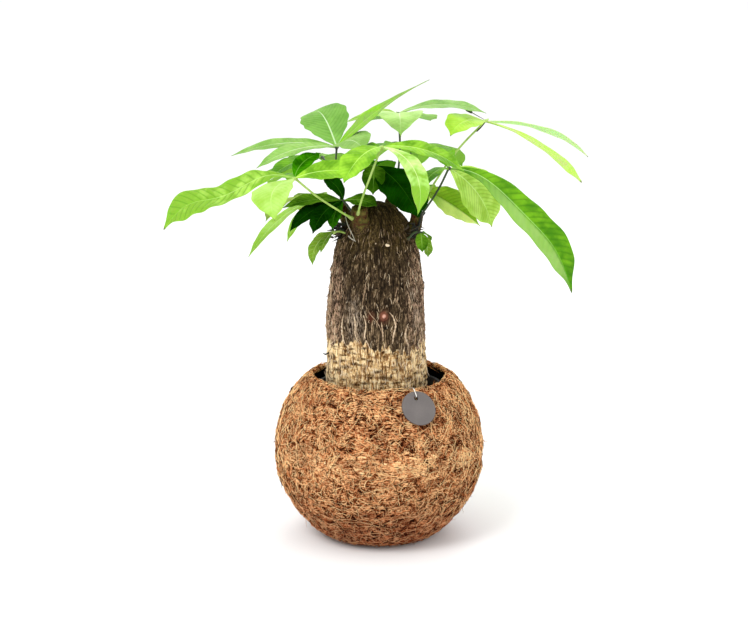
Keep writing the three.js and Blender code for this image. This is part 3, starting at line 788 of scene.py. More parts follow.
def coir_pits(angle, run):
    """Where the mat is open: 0 in it, up to 1 in the pits, from the high parts of two noises. One
    more pit lies behind the hole of the tag, where the shell is painted dark as the shadow seen
    through the hole."""
    hole_turn, hole_pit_width = 0.015, 3.2
    around, up = angle / TURN, run / BALL_RUN[-1]
    wide = smooth(0.45, 1.0, noise(around, up, 46, 44, 5))
    small = smooth(0.25, 0.7, noise(around, up, 150, 136, 6))
    _, _, upslope, _, middle = tag_frame()
    hole_z = (middle + upslope * (TAG_RADIUS - TAG_HOLE_DROP))[2]
    aside = wrapped(angle - TAG_ANGLE - hole_turn) * RIM_RADIUS
    shadow_pit_behind_hole = hill(np.hypot(aside, run - run_at_height(hole_z)), hole_pit_width)
    return np.maximum(np.maximum(wide * (0.25 + 0.4 * small), 0.62 * small), shadow_pit_behind_hole)


def ball_surface(angle, run, lift):
    """The ball's surface by angle and distance along its outline, stood off by lift: the turned
    outline, plus the lumps outside and small tufts everywhere but under the foot."""
    r, z = np.interp(run, BALL_RUN, BALL_R), np.interp(run, BALL_RUN, BALL_Z)
    ahead, behind = np.minimum(run + 1, BALL_RUN[-1]), np.maximum(run - 1, 0)
    dr = np.interp(ahead, BALL_RUN, BALL_R) - np.interp(behind, BALL_RUN, BALL_R)
    dz = np.interp(ahead, BALL_RUN, BALL_Z) - np.interp(behind, BALL_RUN, BALL_Z)
    length = np.maximum(np.hypot(dr, dz), 1e-6)
    outer = 1 - smooth(RIM_RUN - 4, RIM_RUN + 2, run)
    around, up = angle / TURN, run / BALL_RUN[-1]
    tufts = 0.7 * noise(around, up, 64, 60, 1) + 0.45 * noise(around, up, 150, 130, 2)
    lift = lift + tufts * smooth(6, 16, z) * (0.4 + 0.6 * outer)
    r = r + outer * coir_lumps(angle, z) * smooth(2, 5, z) + lift * dz / length
    z = z + rim_wave(angle, z) - lift * dr / length
    return polar(r, angle, np.maximum(z, 0))


def coir_material(looks, name, shell):
    """Coconut fibre. A strand's own number picks its brown; the shell between the strands is
    painted darker, as shade between them, and darker still in the pits, as shade in the hollows.
    Slow patches darken it, a lighter band lies round the middle, and the lower part is painted
    darker and redder, as shade where it faces the floor. Strands catch light from all sides, so
    their cast is a little redder than the shell's."""
    skin = Material(name)
    streaks, patches = skin.group("matted_fibre")
    if shell:
        lining, pit_shade, _ = skin.value("wall")
        # Painted shade: the shell is darker than the strands, in the gaps between streaks and most of
        # all in the pits.
        tone = streaks * 0.62 + 0.06 - pit_shade * 0.52
    else:
        tone = skin.value("strand")[0]
    grain = skin.noise(1.0, 3.0, 0.65)
    tone = tone + (grain - 0.5) * 1.25
    height = skin.parts(skin.place())[2]
    band = skin.step(height, 76, 90) * skin.step(height, 97, 110, 1.0, 0.0)
    band = band * skin.step(patches, 0.35, 0.6, 0.06, 0.2)
    colour = skin.ramp(
        tone * 1.5 + (band - 0.19),
        (0.0, looks.dark_coir), (0.26, looks.brown_coir), (0.52, looks.coir),
        (0.78, looks.golden_coir), (1.0, looks.pale_coir),
    )
    cast = (0.95, 0.98, 1.0) if shell else (1.0, 0.92, 0.87)
    for share, tint in (
        # Painted shade: the lower part is darker and redder, fading out towards the ball's widest
        # part.
        (skin.step(height, 12, 80, 0.62, 0.0), (0.49, 0.23, 0.23)),
        (skin.step(patches, 0.36, 0.5, 0.45, 0.0), (0.34, 0.14, 0.09)),
        (1.0, cast),
    ):
        colour = skin.mix(share, colour, tint, "MULTIPLY")
    if not shell:
        return skin.feed(colour, 0.8, (grain, 0.3, 0.2), DULL)
    lining = skin.step(lining, 0.3, 0.7)
    colour = skin.mix(lining, colour, (0.006, 0.0065, 0.006))
    return skin.feed(colour, skin.step(lining, 0, 1, 0.95, 0.4), (streaks, 0.9, 0.8), DULL)


def make_coir_ball(looks):
    """The shell: its outline turned round the axis on an even grid, with tufts. The inside below
    the rim is a black lining. The wall attribute has the lining and the pits, whose colour is
    painted dark as shade."""
    sides, outer_rows, inner_rows = 260, 144, 22
    lining_depth = 7
    pit_depth = 2.3
    run = np.concatenate([
        [0, 20], np.linspace(BALL_RUN[3] - 2, RIM_RUN + 20, outer_rows),
        np.linspace(RIM_RUN + 22, BALL_RUN[-1] - 10, inner_rows),
        [BALL_RUN[-1] - 5, BALL_RUN[-1]],
    ])
    angle, run = np.meshgrid(circle(sides), run)
    pits = coir_pits(angle, run) * smooth(RIM_RUN, RIM_RUN - 6, run)
    points = ball_surface(angle, run, -0.4 - pit_depth * pits)
    around = angle / TURN
    ragged = 2.0 * noise(around, 0, 40, 1, 3) + noise(around, 0, 110, 1, 4)
    wall = smooth(-1, 1, run - RIM_RUN - lining_depth - ragged)
    surfaces = Surfaces()
    surfaces.add_turned(points, wall=triples(wall, pits, 0))
    materials = [coir_material(looks, "coir_shell", shell=True)]
    surfaces.piece("coir_ball_shell", materials, "coir", "coir_ball")


def strand_tubes(surfaces, centres, normals, radii, strand):
    """Many thin three-sided tubes at once: centres is (strands, steps, 3), and each step has a
    triangle of points across the strand's direction. Both ends close with one triangle."""
    count, steps = centres.shape[:2]
    along = unit(np.gradient(centres, axis=1))
    side = unit(np.cross(normals, along))
    out = np.cross(along, side)
    corner = (np.arange(3) * TURN / 3 + TURN / 4)[:, None]
    spoke = np.cos(corner) * side[:, :, None, :] + np.sin(corner) * out[:, :, None, :]
    points = centres[:, :, None, :] + radii[:, :, None, None] * spoke
    last = 3 * steps
    ends = np.array([[2, 1, 0], [last - 3, last - 2, last - 1]])
    faces = [repeated(part, count, last) for part in (grid_faces(steps, 3), ends)]
    surfaces.add(points, faces, strand=np.repeat(strand.reshape(-1, 3), 3, axis=0))


def coir_strands(count, steps, seed, length, radius, tones, lifts, loose=False):
    """Fibres that lie on the ball. Each starts somewhere on the surface and runs straight, with a
    bow and a ripple, on the surface's own plane of distance round and distance along; its lift
    swings as it goes over and under its neighbours. Few start over a pit. A loose one stands more
    and more away from the ball. The strand attribute has its tone, the share of the way along it
    and a random number."""
    draw = np.random.default_rng(seed)
    on_rim = draw.random(count) < 0.1
    start_run = run_at_height(draw.uniform(1, BALL_HEIGHT - 2, count))
    start_run = np.where(on_rim, RIM_RUN + draw.uniform(-4, 9, count), start_run)
    start_angle = draw.uniform(0, TURN, count)
    lengths = draw.uniform(*length, count) * np.where(on_rim, 0.5, 1)
    heading = draw.uniform(0, TURN, count)
    t = np.linspace(-0.5, 0.5, steps)[None, :]
    bow = draw.normal(0, 0.17, (count, 1)) * (1 - 4 * t**2)
    height = draw.uniform(0, 0.035, (count, 1))
    ripple = height * np.sin(TURN * draw.uniform(1, 2, (count, 1)) * t + 9 * bow)
    forward, aside = t * lengths[:, None], (bow + ripple) * lengths[:, None]
    cos, sin = np.cos(heading)[:, None], np.sin(heading)[:, None]
    run = np.clip(start_run[:, None] + forward * sin + aside * cos, 50, RIM_RUN + 14)
    round_radius = np.interp(start_run, BALL_RUN, BALL_R)[:, None]
    angle = start_angle[:, None] + (forward * cos - aside * sin) / round_radius
    lift = draw.uniform(*lifts, (count, 1)) + 0.4 * np.sin(TURN * (t + draw.random((count, 1))))
    if loose:
        lift = lift + draw.uniform(2, 7, (count, 1)) * smooth(0.0, 0.5, t) ** 1.5
    centres = ball_surface(angle, run, lift)
    outward = unit(ball_surface(angle, run, lift + 1) - centres)
    centres[..., 2] = np.maximum(centres[..., 2], 0.6)
    radii = draw.uniform(*radius, (count, 1)) * (1 - 0.7 * np.abs(2 * t) ** 4)
    tone = draw.choice(tones, (count, 1)) + draw.normal(0, 0.06, (count, 1))
    strand = triples(tone, t + 0.5, draw.random((count, 1)))
    keep = coir_pits(start_angle, start_run) < draw.uniform(0.25, 1.0, count)
    keep = keep & clear_of_tag(centres)
    return centres[keep], outward[keep], radii[keep], strand[keep]


def clear_of_tag(centres):
    """Which strands stay out of the space over the tag's back: none of their points are nearer to
    its axis than its rim and above its back plane."""
    _, face, _, _, middle = tag_frame()
    reach = centres - middle
    above = reach @ face
    aside = np.linalg.norm(reach - above[..., None] * face, axis=-1)
    return ~np.any((aside < TAG_RADIUS + 0.6) & (above > -0.4), axis=1)


def make_coir_fibres(looks):
    """Layers of fibres over the shell: short dark and brown ones below, tan ones over them, and
    thin golden ones on top, some of which stand away from the ball."""
    material = coir_material(looks, "coir_strands", shell=False)
    some = looks.fibres
    dark, tan, gold = (0.0, 0.14, 0.34), (0.08, 0.36, 0.6, 0.8), (0.0, 0.36, 0.64, 0.86, 1.0)
    # Each set: how many, their steps and seed, and the ranges of lengths, radii, tones and lifts.
    layers = {
        "coir_fibres_under": [
            (some // 2, 5, 11, (6, 16), (0.3, 0.55), dark, (-0.4, 0.4)),
            (some, 5, 12, (5, 17), (0.26, 0.46), tan, (0.0, 0.8)),
        ],
        "coir_fibres_over": [
            (some * 5 // 4, 5, 13, (4.5, 15), (0.19, 0.36), gold, (0.3, 1.3)),
            (some // 3, 4, 16, (2, 7), (0.22, 0.4), (0.05, 0.2), (0.6, 1.4)),
            (some // 16, 10, 14, (26, 60), (0.18, 0.26), (0.6, 0.8, 0.95), (0.9, 1.6)),
            (some // 24, 8, 15, (10, 26), (0.15, 0.26), (0.1, 0.5, 0.9), (0.6, 1.4), True),
        ],
    }
    for name, sets in layers.items():
        surfaces = Surfaces()
        for one in sets:
            strand_tubes(surfaces, *coir_strands(*one))
        surfaces.piece(name, [material], "coir")


# The nursery pot and the soil.


def pot_radius(z):
    """The pot's radius at a height: it grows evenly from the foot to the top."""
    return POT_FOOT_RADIUS + (POT_TOP_RADIUS - POT_FOOT_RADIUS) * (z - POT_FOOT_Z) / POT_HEIGHT


def turned_rows(profile, sides):
    """Rows of points round the axis from a profile of (radius, height)."""
    r, z = np.array(profile, float).T
    return polar(r[:, None], circle(sides), z[:, None])


def rounded(points, radius, steps=5):
    """A profile with its corners rounded: each corner becomes a few points of a curve that starts
    and ends at most radius away from it."""
    p = np.asarray(points, float)
    rows = [p[0]]
    for before, corner, after in zip(p[:-2], p[1:-1], p[2:]):
        back, on = before - corner, after - corner
        reach_back = min(radius, np.linalg.norm(back) * 0.45)
        reach_on = min(radius, np.linalg.norm(on) * 0.45)
        start, end = corner + unit(back) * reach_back, corner + unit(on) * reach_on
        t = np.linspace(0, 1, steps)[:, None]
        rows.extend((1 - t) ** 2 * start + 2 * t * (1 - t) * corner + t**2 * end)
    return np.array(rows + [p[-1]])


def make_nursery_pot(looks):
    """The black pot, turned from a rounded profile with a rolled lip. Faint dark-green lines on it are
    a painted glint.
    """
    top = POT_FOOT_Z + POT_HEIGHT
    under = top - POT_LIP_HEIGHT
    profile = rounded([
        (0, POT_FOOT_Z), (POT_FOOT_RADIUS, POT_FOOT_Z), (pot_radius(under), under),
        (pot_radius(under) + POT_WALL, under), (pot_radius(top) + POT_WALL, top),
        (pot_radius(top) - POT_WALL, top), (POT_FOOT_RADIUS - POT_WALL, POT_FOOT_Z + POT_WALL),
        (0, POT_FOOT_Z + POT_WALL),
    ], 0.7)
    skin = Material("black_plastic")
    scuffs_and_glint = skin.noise((0.02, 0.02, 0.4), 4.0, 0.65)
    dust = skin.noise(0.15, 5.0, 0.7)
    colour = skin.over(
        looks.plastic,
        # Painted glint: faint dark-green lines over the black plastic; the same streaks give its
        # scuffed bump.
        (skin.step(scuffs_and_glint, 0.45, 0.7), (0.012, 0.02, 0.014)),
        (skin.step(dust, 0.6, 0.85, 0.0, 0.5), (0.09, 0.07, 0.05)),
    )
    material = skin.feed(colour, skin.step(dust, 0.3, 0.7, 0.28, 0.55), (scuffs_and_glint, 0.25, 0.2))
    surfaces = Surfaces()
    surfaces.add_turned(turned_rows(profile, 96))
    surfaces.piece("nursery_pot_body", [material], "pot_plastic", "nursery_pot", sharp=60)


def soil_side(z):
    """The radius of the soil's side, clear of the pot's wall."""
    return pot_radius(z) - POT_WALL - 2 * SEAT_GAP


def make_soil(looks):
    """The compost: a turned block with a blind hole for the stump, its top roughened by noise, and
    crumbs on it."""
    brim_radius, rough_from, rough_over = 50.2, 45, 15
    floor = POT_FOOT_Z + POT_WALL + SEAT_GAP
    hole = [(r + 3 * SEAT_GAP if r else 0, z - SEAT_GAP) for r, z in TRUNK_PROFILE if z < SOIL_TOP_Z]
    wall = [(soil_side(z), z) for z in np.linspace(floor + 2, SOIL_TOP_Z - 2, 16)]
    brim = [(r, SOIL_TOP_Z) for r in np.linspace(soil_side(SOIL_TOP_Z) - 2, brim_radius, 12)]
    profile = [(0, floor), (soil_side(floor) - 1, floor), *wall, *brim, *hole[::-1]]
    rows = turned_rows(profile, 160)
    x, y, z = rows[..., 0], rows[..., 1], rows[..., 2]
    on_top = (z > SOIL_TOP_Z - 1) & (z <= SOIL_TOP_Z)
    angle = np.arctan2(y, x) / TURN
    out = np.clip((np.hypot(x, y) - rough_from) / rough_over, 0, 1)
    rough = 1.1 * noise(angle, out, 60, 4, 21) + 0.7 * noise(angle, out, 150, 9, 22)
    rows[..., 2] += np.where(on_top, rough - 0.4, 0)
    rows[-len(hole) :, :, 0] += TRUNK_X
    surfaces = Surfaces()
    surfaces.add_turned(rows)
    add_crumbs(surfaces)
    skin = Material("moist_compost")
    lump = skin.noise(0.35, 5.0, 0.7)
    fleck = skin.put("ShaderNodeTexVoronoi", {"Vector": skin.place(0.7), "Scale": 1.0})
    pale = skin.math("LESS_THAN", fleck.outputs["Distance"], 0.16)
    colour = skin.ramp(
        lump, (0.3, (0.008, 0.005, 0.003)), (0.55, looks.soil), (0.8, (0.11, 0.065, 0.035))
    )
    colour = skin.mix(pale * 0.5, colour, (0.3, 0.2, 0.11))
    material = skin.feed(colour, skin.step(lump, 0.3, 0.7, 0.6, 0.95), (lump, 0.8, 1.2))
    surfaces.piece("soil_compost", [material], "soil", "soil")


# The stump.


def add_crumbs(surfaces):
    """Crumbs round the stump's foot: small balls in rows of points from pole to pole, whose points
    and whose three directions are stretched at random."""
    draw = np.random.default_rng(23)
    count, rows, sides = 500, 4, 7
    around, away = draw.uniform(0, TURN, count), draw.uniform(49.5, 57, count)
    size = draw.uniform(0.5, 1.7, count)
    centre = polar(away, around, SOIL_TOP_Z + size * 0.3) - (1.2, 0, 0)
    up = np.linspace(-np.pi / 2, np.pi / 2, rows + 2)[1:-1, None]
    ring = polar(np.cos(up), circle(sides), np.sin(up)).reshape(-1, 3)
    ball = np.vstack([ring, [(0, 0, -1), (0, 0, 1)]])
    shape = draw.uniform(0.75, 1.25, (count, len(ball), 1))
    squeeze = draw.uniform(0.6, 1.3, (count, 1, 3))
    crumbs = centre[:, None, :] + size[:, None, None] * ball[None] * shape * squeeze
    quads, *fans = capped_faces(rows, sides)
    faces = [repeated(part, count, len(ball)) for part in (quads, np.vstack(fans))]
    surfaces.add(crumbs, faces)


def trunk_outline(count):
    """The stump's half outline as a smooth curve through the profile, from the root to the top,
    with only a few of its points in the soil."""
    buried = 8
    line = curve_through([(r, 0, z) for r, z in TRUNK_PROFILE], 1200)
    run = distance_along(line)
    start = np.interp(SOIL_TOP_Z - 4, line[:900, 2], run[:900])
    wanted = np.concatenate([
        np.linspace(0, start, buried, endpoint=False), np.linspace(start, run[-1], count - buried)
    ])
    return np.interp(wanted, run, line[:, 0]), np.interp(wanted, run, line[:, 2])


def on_stump(angle, z, at_degrees, at_z):
    """How far a place on the stump lies from another, round and up, in millimetres."""
    return wrapped(angle - math.radians(at_degrees)) * STUMP_REACH, z - at_z


# Scars on the bark: degrees round, height, half width, half height, rise, kind. Kind 1 is a
# healed pink knot with a painted highlight in its middle, 2 a dark reddish hollow, 3 a pale
# place where the bark is rubbed.
SCARS = [
    (-81, 226, 5.4, 6.4, -0.8, 2),
    (-81, 227, 2.9, 3.1, 0.7, 1),
    (-96, 226, 4.0, 5.0, -0.7, 2),
    (-116, 220, 9.0, 22.0, 0.2, 3),
    (-36, 221, 6.0, 11.0, 0.3, 3),
    (-42, 244, 5.0, 7.0, 0.3, 3),
    (-24, 205, 5.0, 14.0, 0.2, 3),
    (60, 240, 4.0, 5.0, 1.0, 1),
    (140, 205, 5.0, 6.0, -0.5, 2),
    (100, 280, 3.0, 1.5, 0.3, 3),
    (20, 225, 8.0, 18.0, 0.2, 3),
    (118, 218, 9.0, 20.0, 0.2, 3),
    (-170, 222, 8.0, 16.0, 0.2, 3),
]

# Thin root-like lines that stand out from the front of the bark, each through (degrees, height)
# places, with its half width and its tone.
RAISED_LINES = [
    ([(-74, 230), (-69.7, 225), (-67.8, 216.5), (-70, 208), (-71.6, 200)], 0.8, 0.85),
    ([(-84, 221), (-83, 213), (-82, 203.5)], 0.75, 0.75),
    ([(-102, 237.5), (-97, 229), (-89.5, 222), (-85.6, 216), (-83, 210)], 0.4, 0.7),
    ([(-104, 228), (-101.5, 218.5), (-102.6, 206), (-98.5, 199), (-96.4, 194)], 0.7, 0.9),
    ([(-116, 228), (-114, 218), (-114, 208), (-109, 200)], 0.65, 0.9),
    ([(-133, 225.5), (-135, 215.5), (-134.5, 204.5), (-129, 197)], 0.85, 0.9),
    ([(-147, 215), (-149.5, 205), (-148.5, 195.5)], 0.8, 0.85),
    ([(-50, 217.5), (-55, 207), (-51.5, 197)], 0.8, 0.85),
    ([(-49.6, 247.5), (-49, 235), (-46, 227)], 0.6, 0.7),
    ([(-64, 255.5), (-67, 245), (-65, 237)], 0.45, 0.65),
    ([(-93, 224), (-95, 216), (-94.5, 209)], 0.45, 0.7),
    ([(-102, 260), (-104, 248), (-106, 237)], 0.45, 0.65),
    ([(-76.5, 293.5), (-73.5, 292.5), (-71, 292.5)], 1.1, 1.15),
    ([(-91.5, 294.5), (-90, 294)], 0.7, 1.0),
]


def bark_nicks(angle, z):
    """Short nicks at random places on the peeled band, nearly level, each 1 in its middle."""
    draw, count = np.random.default_rng(39), 190
    nicks = np.zeros(angle.shape)
    for at, height, wide, tall in zip(
        draw.uniform(-180, 180, count), draw.uniform(140, 200, count),
        draw.uniform(1.2, 6, count), draw.uniform(0.7, 1.6, count),
    ):
        x, y = on_stump(angle, z, at, height)
        nicks = np.maximum(nicks, hill(x, wide) * hill(y + 0.12 * x * np.sin(at), tall))
    return nicks


def bark_shape(angle, z):
    """The bark's relief and what its colours need. Relief: the solid's ridges and swells, finer
    ridges that are noise drawn out upwards, and narrow fissures along the lines where that noise
    is nil. The peeled band near the soil is flatter and has nicks, and each scar smooths the
    relief and then rises or sinks."""
    above = smooth(SOIL_TOP_Z + 5, SOIL_TOP_Z + 14, z)
    below = smooth(0, 14, TRUNK_TOP_Z - z)
    lean = 1.7 * np.sin(0.035 * z + 3 * angle)
    ridges = RIDGE_HEIGHT * np.sin(BARK_RIDGES * angle + lean)
    swells = 0.9 * np.sin(2 * angle + 0.02 * z) + 0.6 * np.sin(5 * angle + 0.05 * z)
    around, up = angle / TURN, (z - 120) / 210
    warp = 0.006 * noise(around, up, 24, 20, 31) + 0.004 * noise(around, up, 60, 60, 32)
    wide = noise(around + warp, up, 52, 10, 33)
    middle = noise(around + warp, up, 104, 26, 34)
    fine = noise(around + warp, up, 210, 60, 35)
    fissures = np.maximum(0.8 * hill(middle, 0.2), 0.55 * hill(fine, 0.3))
    fissures = np.maximum(hill(wide, 0.16), fissures)
    edge = 196 + 4 * noise(around, 0, 40, 1, 36) + 5 * noise(around, 0, 110, 1, 37)
    edge = edge + 4 * noise(around, 0, 7, 1, 38)
    peeled = smooth(3, -3, z - edge)
    fissures = fissures * (1 - 0.75 * peeled)
    nicks = bark_nicks(angle, z) * peeled
    relief = 0.45 * wide + 0.4 * middle + 0.3 * fine
    relief = relief * (1 - 0.6 * peeled) - 1.25 * fissures - 0.9 * nicks - 0.7 * peeled
    kinds = np.zeros(angle.shape + (3,))
    for at, height, half_width, half_height, rise, kind in SCARS:
        x, y = on_stump(angle, z, at, height)
        blot = np.exp(-(((x / half_width) ** 2 + (y / half_height) ** 2) ** 1.5))
        if kind == 1:
            ring = np.hypot(x / half_width, y / half_height)
            blot = np.maximum(blot, 0.5 * hill(ring - 1.2, 0.25))
        relief = relief * (1 - 0.7 * blot) + rise * blot
        kinds[..., kind - 1] = np.maximum(kinds[..., kind - 1], blot)
    push = above * below * (ridges + swells) + smooth(SOIL_TOP_Z - 4, SOIL_TOP_Z + 6, z) * relief
    return push, fissures, peeled, nicks, kinds


def make_trunk(looks):
    """The stump: its smooth outline turned round its own axis and pushed out by the bark's relief."""
    sides, rows = 260, 300
    radius, height = trunk_outline(rows)
    angle, z = np.meshgrid(circle(sides), height)
    push, fissures, peeled, nicks, kinds = bark_shape(angle, z)
    r = radius[:, None]
    r = np.where(r > 0, np.maximum(r + push * smooth(2, 20, r), 0.2), 0)
    lumps = 1.6 * noise(angle / TURN, r / 60, 9, 5, 41) * smooth(300, 322, z) * smooth(0, 8, r)
    points = polar(r, angle, z + lumps) + (TRUNK_X, 0, 0)
    surfaces = Surfaces()
    surfaces.add_turned(points, bark=triples(fissures, peeled, nicks), scars=kinds)
    surfaces.piece("trunk_bark", [bark_material(looks)], "bark", "trunk")


def stump_skin(angle, z, lift):
    """A place on the bark by angle and height, stood off by lift: the stump's outline with the
    bark's relief added."""
    radius, height = trunk_outline(300)
    r = np.interp(z, height, radius) + bark_shape(angle, z)[0] + lift
    return polar(r, angle, z) + (TRUNK_X, 0, 0)


def bark_slivers(count, seed, heights, length, radius, tones, curl):
    """Slivers of loose bark, as strands: each stands upright on the stump at a random place, leans
    and bows a little, and one end stands off by up to curl."""
    draw = np.random.default_rng(seed)
    t = np.linspace(-0.5, 0.5, 6)[None, :]
    long = draw.uniform(*length, (count, 1))
    z = draw.uniform(*heights, (count, 1)) + long * t
    lean = draw.normal(0, 0.16, (count, 1)) * long * t
    aside = lean + draw.normal(0, 0.6, (count, 1)) * (1 - 4 * t**2)
    angle = draw.uniform(0, TURN, (count, 1)) + aside / STUMP_REACH
    up_or_down = draw.choice([-1, 1], (count, 1))
    loose = curl * draw.random((count, 1)) ** 4 * smooth(-0.1, 0.5, t * up_or_down)
    lift = draw.uniform(-0.15, 0.3, (count, 1)) + loose
    centres = stump_skin(angle, z, lift)
    outward = unit(stump_skin(angle, z, lift + 1) - centres)
    radii = draw.uniform(*radius, (count, 1)) * (1 - 0.75 * np.abs(2 * t) ** 3)
    tone = draw.choice(tones, (count, 1)) + draw.normal(0, 0.08, (count, 1))
    return centres, outward, radii, triples(tone - 0.3 * smooth(262, 300, z), 0, 0)


def add_raised_line(surfaces, places, half_width, tone):
    """A tube along a curve through (degrees, height) places on the bark, thinner at both ends."""
    rows = 26
    degrees, z = curve_through(places, rows).T
    t = np.linspace(-1, 1, rows)
    centres = stump_skin(np.radians(degrees), z, 0.1)
    radius = half_width * (1 - 0.7 * np.abs(t) ** 3) * (1 + 0.35 * np.sin(1.9 * z + 0.2 * degrees))
    surfaces.add_tube(centres, radius, 6, strand=(tone, 0, 0))


def make_bark_flakes():
    """Loose slivers all over the bark, splinters on the peeled band, and the raised lines, with
    more of them at random round the sides and the back."""
    surfaces = Surfaces()
    # Each set: how many, the seed, the ranges of heights, lengths and radii, the tones and curl.
    for slivers in (
        (1200, 42, (198, 308), (2, 8), (0.2, 0.42), (0.0, 0.15, 0.4, 0.65, 0.85, 1.05), 2.2),
        (620, 43, (139, 198), (2.5, 12), (0.22, 0.5), (0.1, 0.3, 0.6, 0.9, 1.0, 1.15), 2.6),
    ):
        strand_tubes(surfaces, *bark_slivers(*slivers))
    for places, half_width, tone in RAISED_LINES:
        add_raised_line(surfaces, places, half_width, tone)
    draw = np.random.default_rng(44)
    for degrees in draw.uniform(-35, 205, 24):
        top, long = draw.uniform(212, 256), draw.uniform(12, 34)
        drift = draw.normal(0, 4, 3)
        places = [(degrees + d, top - long * share) for d, share in zip(drift, (0, 0.5, 1))]
        add_raised_line(surfaces, places, draw.uniform(0.5, 0.9), draw.uniform(0.6, 0.95))
    skin = Material("loose_bark")
    fine = skin.noise((0.8, 0.8, 0.3), 4.0, 0.7)
    colour = skin.ramp(
        skin.value("strand")[0] + (fine - 0.5) * 0.9,
        (0.0, (0.014, 0.008, 0.005)), (0.35, (0.09, 0.055, 0.032)), (0.6, (0.27, 0.175, 0.105)),
        (0.85, (0.52, 0.38, 0.25)), (1.0, (0.74, 0.6, 0.42)),
    )
    material = skin.feed(colour, skin.step(fine, 0.3, 0.7, 0.95, 0.75), (fine, 0.5, 0.3), DULL)
    surfaces.piece("bark_flakes", [material], "bark")


def bark_material(looks):
    """Fissured dark brown bark. The fissures are painted nearly black, as shade in the cracks, and
    the ridges have pale weathered streaks. Where it has peeled near the soil it is beige with
    upright fibres and dark nicks, and pale tongues rise from there. Towards the left and right
    sides, as seen from the front, the bark is painted lighter and redder, as light on its flanks."""
    skin = Material("stump_bark")
    fissure_shade, peeled, nick = skin.value("bark")
    knot_and_highlight, hollow, scratch = skin.value("scars")
    x, _, z = skin.parts(skin.place())
    streak = skin.noise((0.55, 0.55, 0.07), 5.0, 0.66, 0.4)
    fine = skin.noise((1.1, 1.1, 0.17), 4.0, 0.7, 0.2)
    wide = skin.noise((0.035, 0.035, 0.02), 3.0)
    tongue = skin.noise((0.3, 0.3, 0.024), 3.0, warp=0.3)
    blot = skin.noise((0.12, 0.12, 0.26), 5.0, 0.65)
    # Painted light: towards the left and right sides, as seen from the front, the bark is lighter and
    # redder.
    flank = abs(x - TRUNK_X)
    shade = streak + (fine - 0.5) * 0.9 + skin.step(flank, 24, 46, 0.0, 0.08)
    colour = skin.ramp(
        shade,
        (0.32, (0.008, 0.005, 0.003)), (0.47, looks.bark), (0.57, (0.1, 0.066, 0.036)),
        (0.67, (0.3, 0.21, 0.12)), (0.8, (0.62, 0.48, 0.33)),
    )
    grey = skin.step(wide, 0.45, 0.65) * skin.step(z, 205, 250, 0.1, 0.04)
    red_rim_light = skin.step(flank, 24, 43) * skin.step(fine, 0.46, 0.57, 0.0, 0.9)
    moss = skin.step(z, 262, 312) * skin.step(fine, 0.4, 0.6, 0.15, 0.7)
    rising = skin.step(z, 232, 198) * skin.step(tongue, 0.5, 0.62)
    rising = rising * skin.step(fine, 0.4, 0.54, 0.2, 1.0)
    colour = skin.over(
        skin.mix(grey, colour, (0.16, 0.11, 0.07), "SCREEN"),
        (red_rim_light, (0.8, 0.5, 0.34)), (moss, (0.12, 0.08, 0.018)),
        # Painted shade: the fissures are nearly black.
        (fissure_shade * 0.86, (0.009, 0.006, 0.004)), (rising * 0.6, (0.52, 0.36, 0.2)),
    )
    bare = skin.ramp(
        shade,
        (0.32, (0.04, 0.014, 0.003)), (0.43, (0.26, 0.125, 0.04)), (0.52, looks.peeled_bark),
        (0.63, (0.98, 0.77, 0.45)),
    )
    bare = skin.over(
        bare,
        (skin.step(blot, 0.53, 0.6, 0.0, 0.75), (0.18, 0.082, 0.03)),
        (skin.step(blot, 0.46, 0.38) * skin.step(fine, 0.4, 0.6, 0.2, 0.8), (1.0, 0.84, 0.54)),
        (nick * 0.95, (0.03, 0.01, 0.002)),
    )
    ragged = peeled + (fine - 0.5) * 1.4
    colour = skin.over(
        colour,
        (skin.step(ragged, 0.35, 0.65), bare),
        (skin.step(z, SOIL_TOP_Z + 8, SOIL_TOP_Z - 2, 0.0, 0.8), (0.04, 0.024, 0.014)),
        (scratch * skin.step(fine, 0.46, 0.6, 0.0, 0.8), (0.46, 0.36, 0.27)),
        (hollow * 0.85, (0.085, 0.026, 0.015)),
        (knot_and_highlight * 0.8, (0.33, 0.12, 0.075)),
        # Painted highlight: the paler middle of each knot.
        (skin.step(knot_and_highlight, 0.6, 1.0, 0.0, 0.9), (0.72, 0.4, 0.3)),
    )
    return skin.feed(colour, skin.step(fine, 0.3, 0.7, 0.95, 0.75), (shade, 1.0, 1.2), DULL)


# Shoots, with the dry scales and stubs between them.


def make_shoots(looks):
    """Each shoot is a tube along its curve. Rings of leaf scars swell it, wrinkles run up it, and
    its top is domed. The left one was cut, and its top is a flat pale disc. The stem attribute has
    the scars and the share of the way up."""
    materials = [stem_material(looks), cut_material(looks)]
    rows, sides = 64, 44
    share, angle = np.linspace(0, 1, rows)[:, None], circle(sides)[None, :]
    for number, (name, (points, (foot, top))) in enumerate(SHOOTS.items()):
        path = curve_through(points, rows)
        scars = hill(np.sin(TURN * (2.3 * share + 0.04 * np.sin(angle + number))), 0.25)
        wrinkles = noise(angle / TURN, share, 22, 9, 50 + number)
        wrinkles = wrinkles + 0.6 * noise(angle / TURN, share, 44, 26, 60 + number)
        radius = foot + (top - foot) * share + 0.45 * scars + 0.35 * wrinkles
        cut = name == "shoot_left"
        end = smooth(0.96, 1, share) if cut else smooth(0.86, 1, share) ** 2
        radius = radius * (1 - (0.06 if cut else 0.75) * end)
        surfaces = Surfaces()
        surfaces.add_tube(path, radius, sides, stem=triples(scars, share, 0).reshape(-1, 3))
        if cut:
            add_cut_face(surfaces, path, radius[-1])
        surfaces.piece(name + "_stem", materials, "shoot", name, sharp=60)


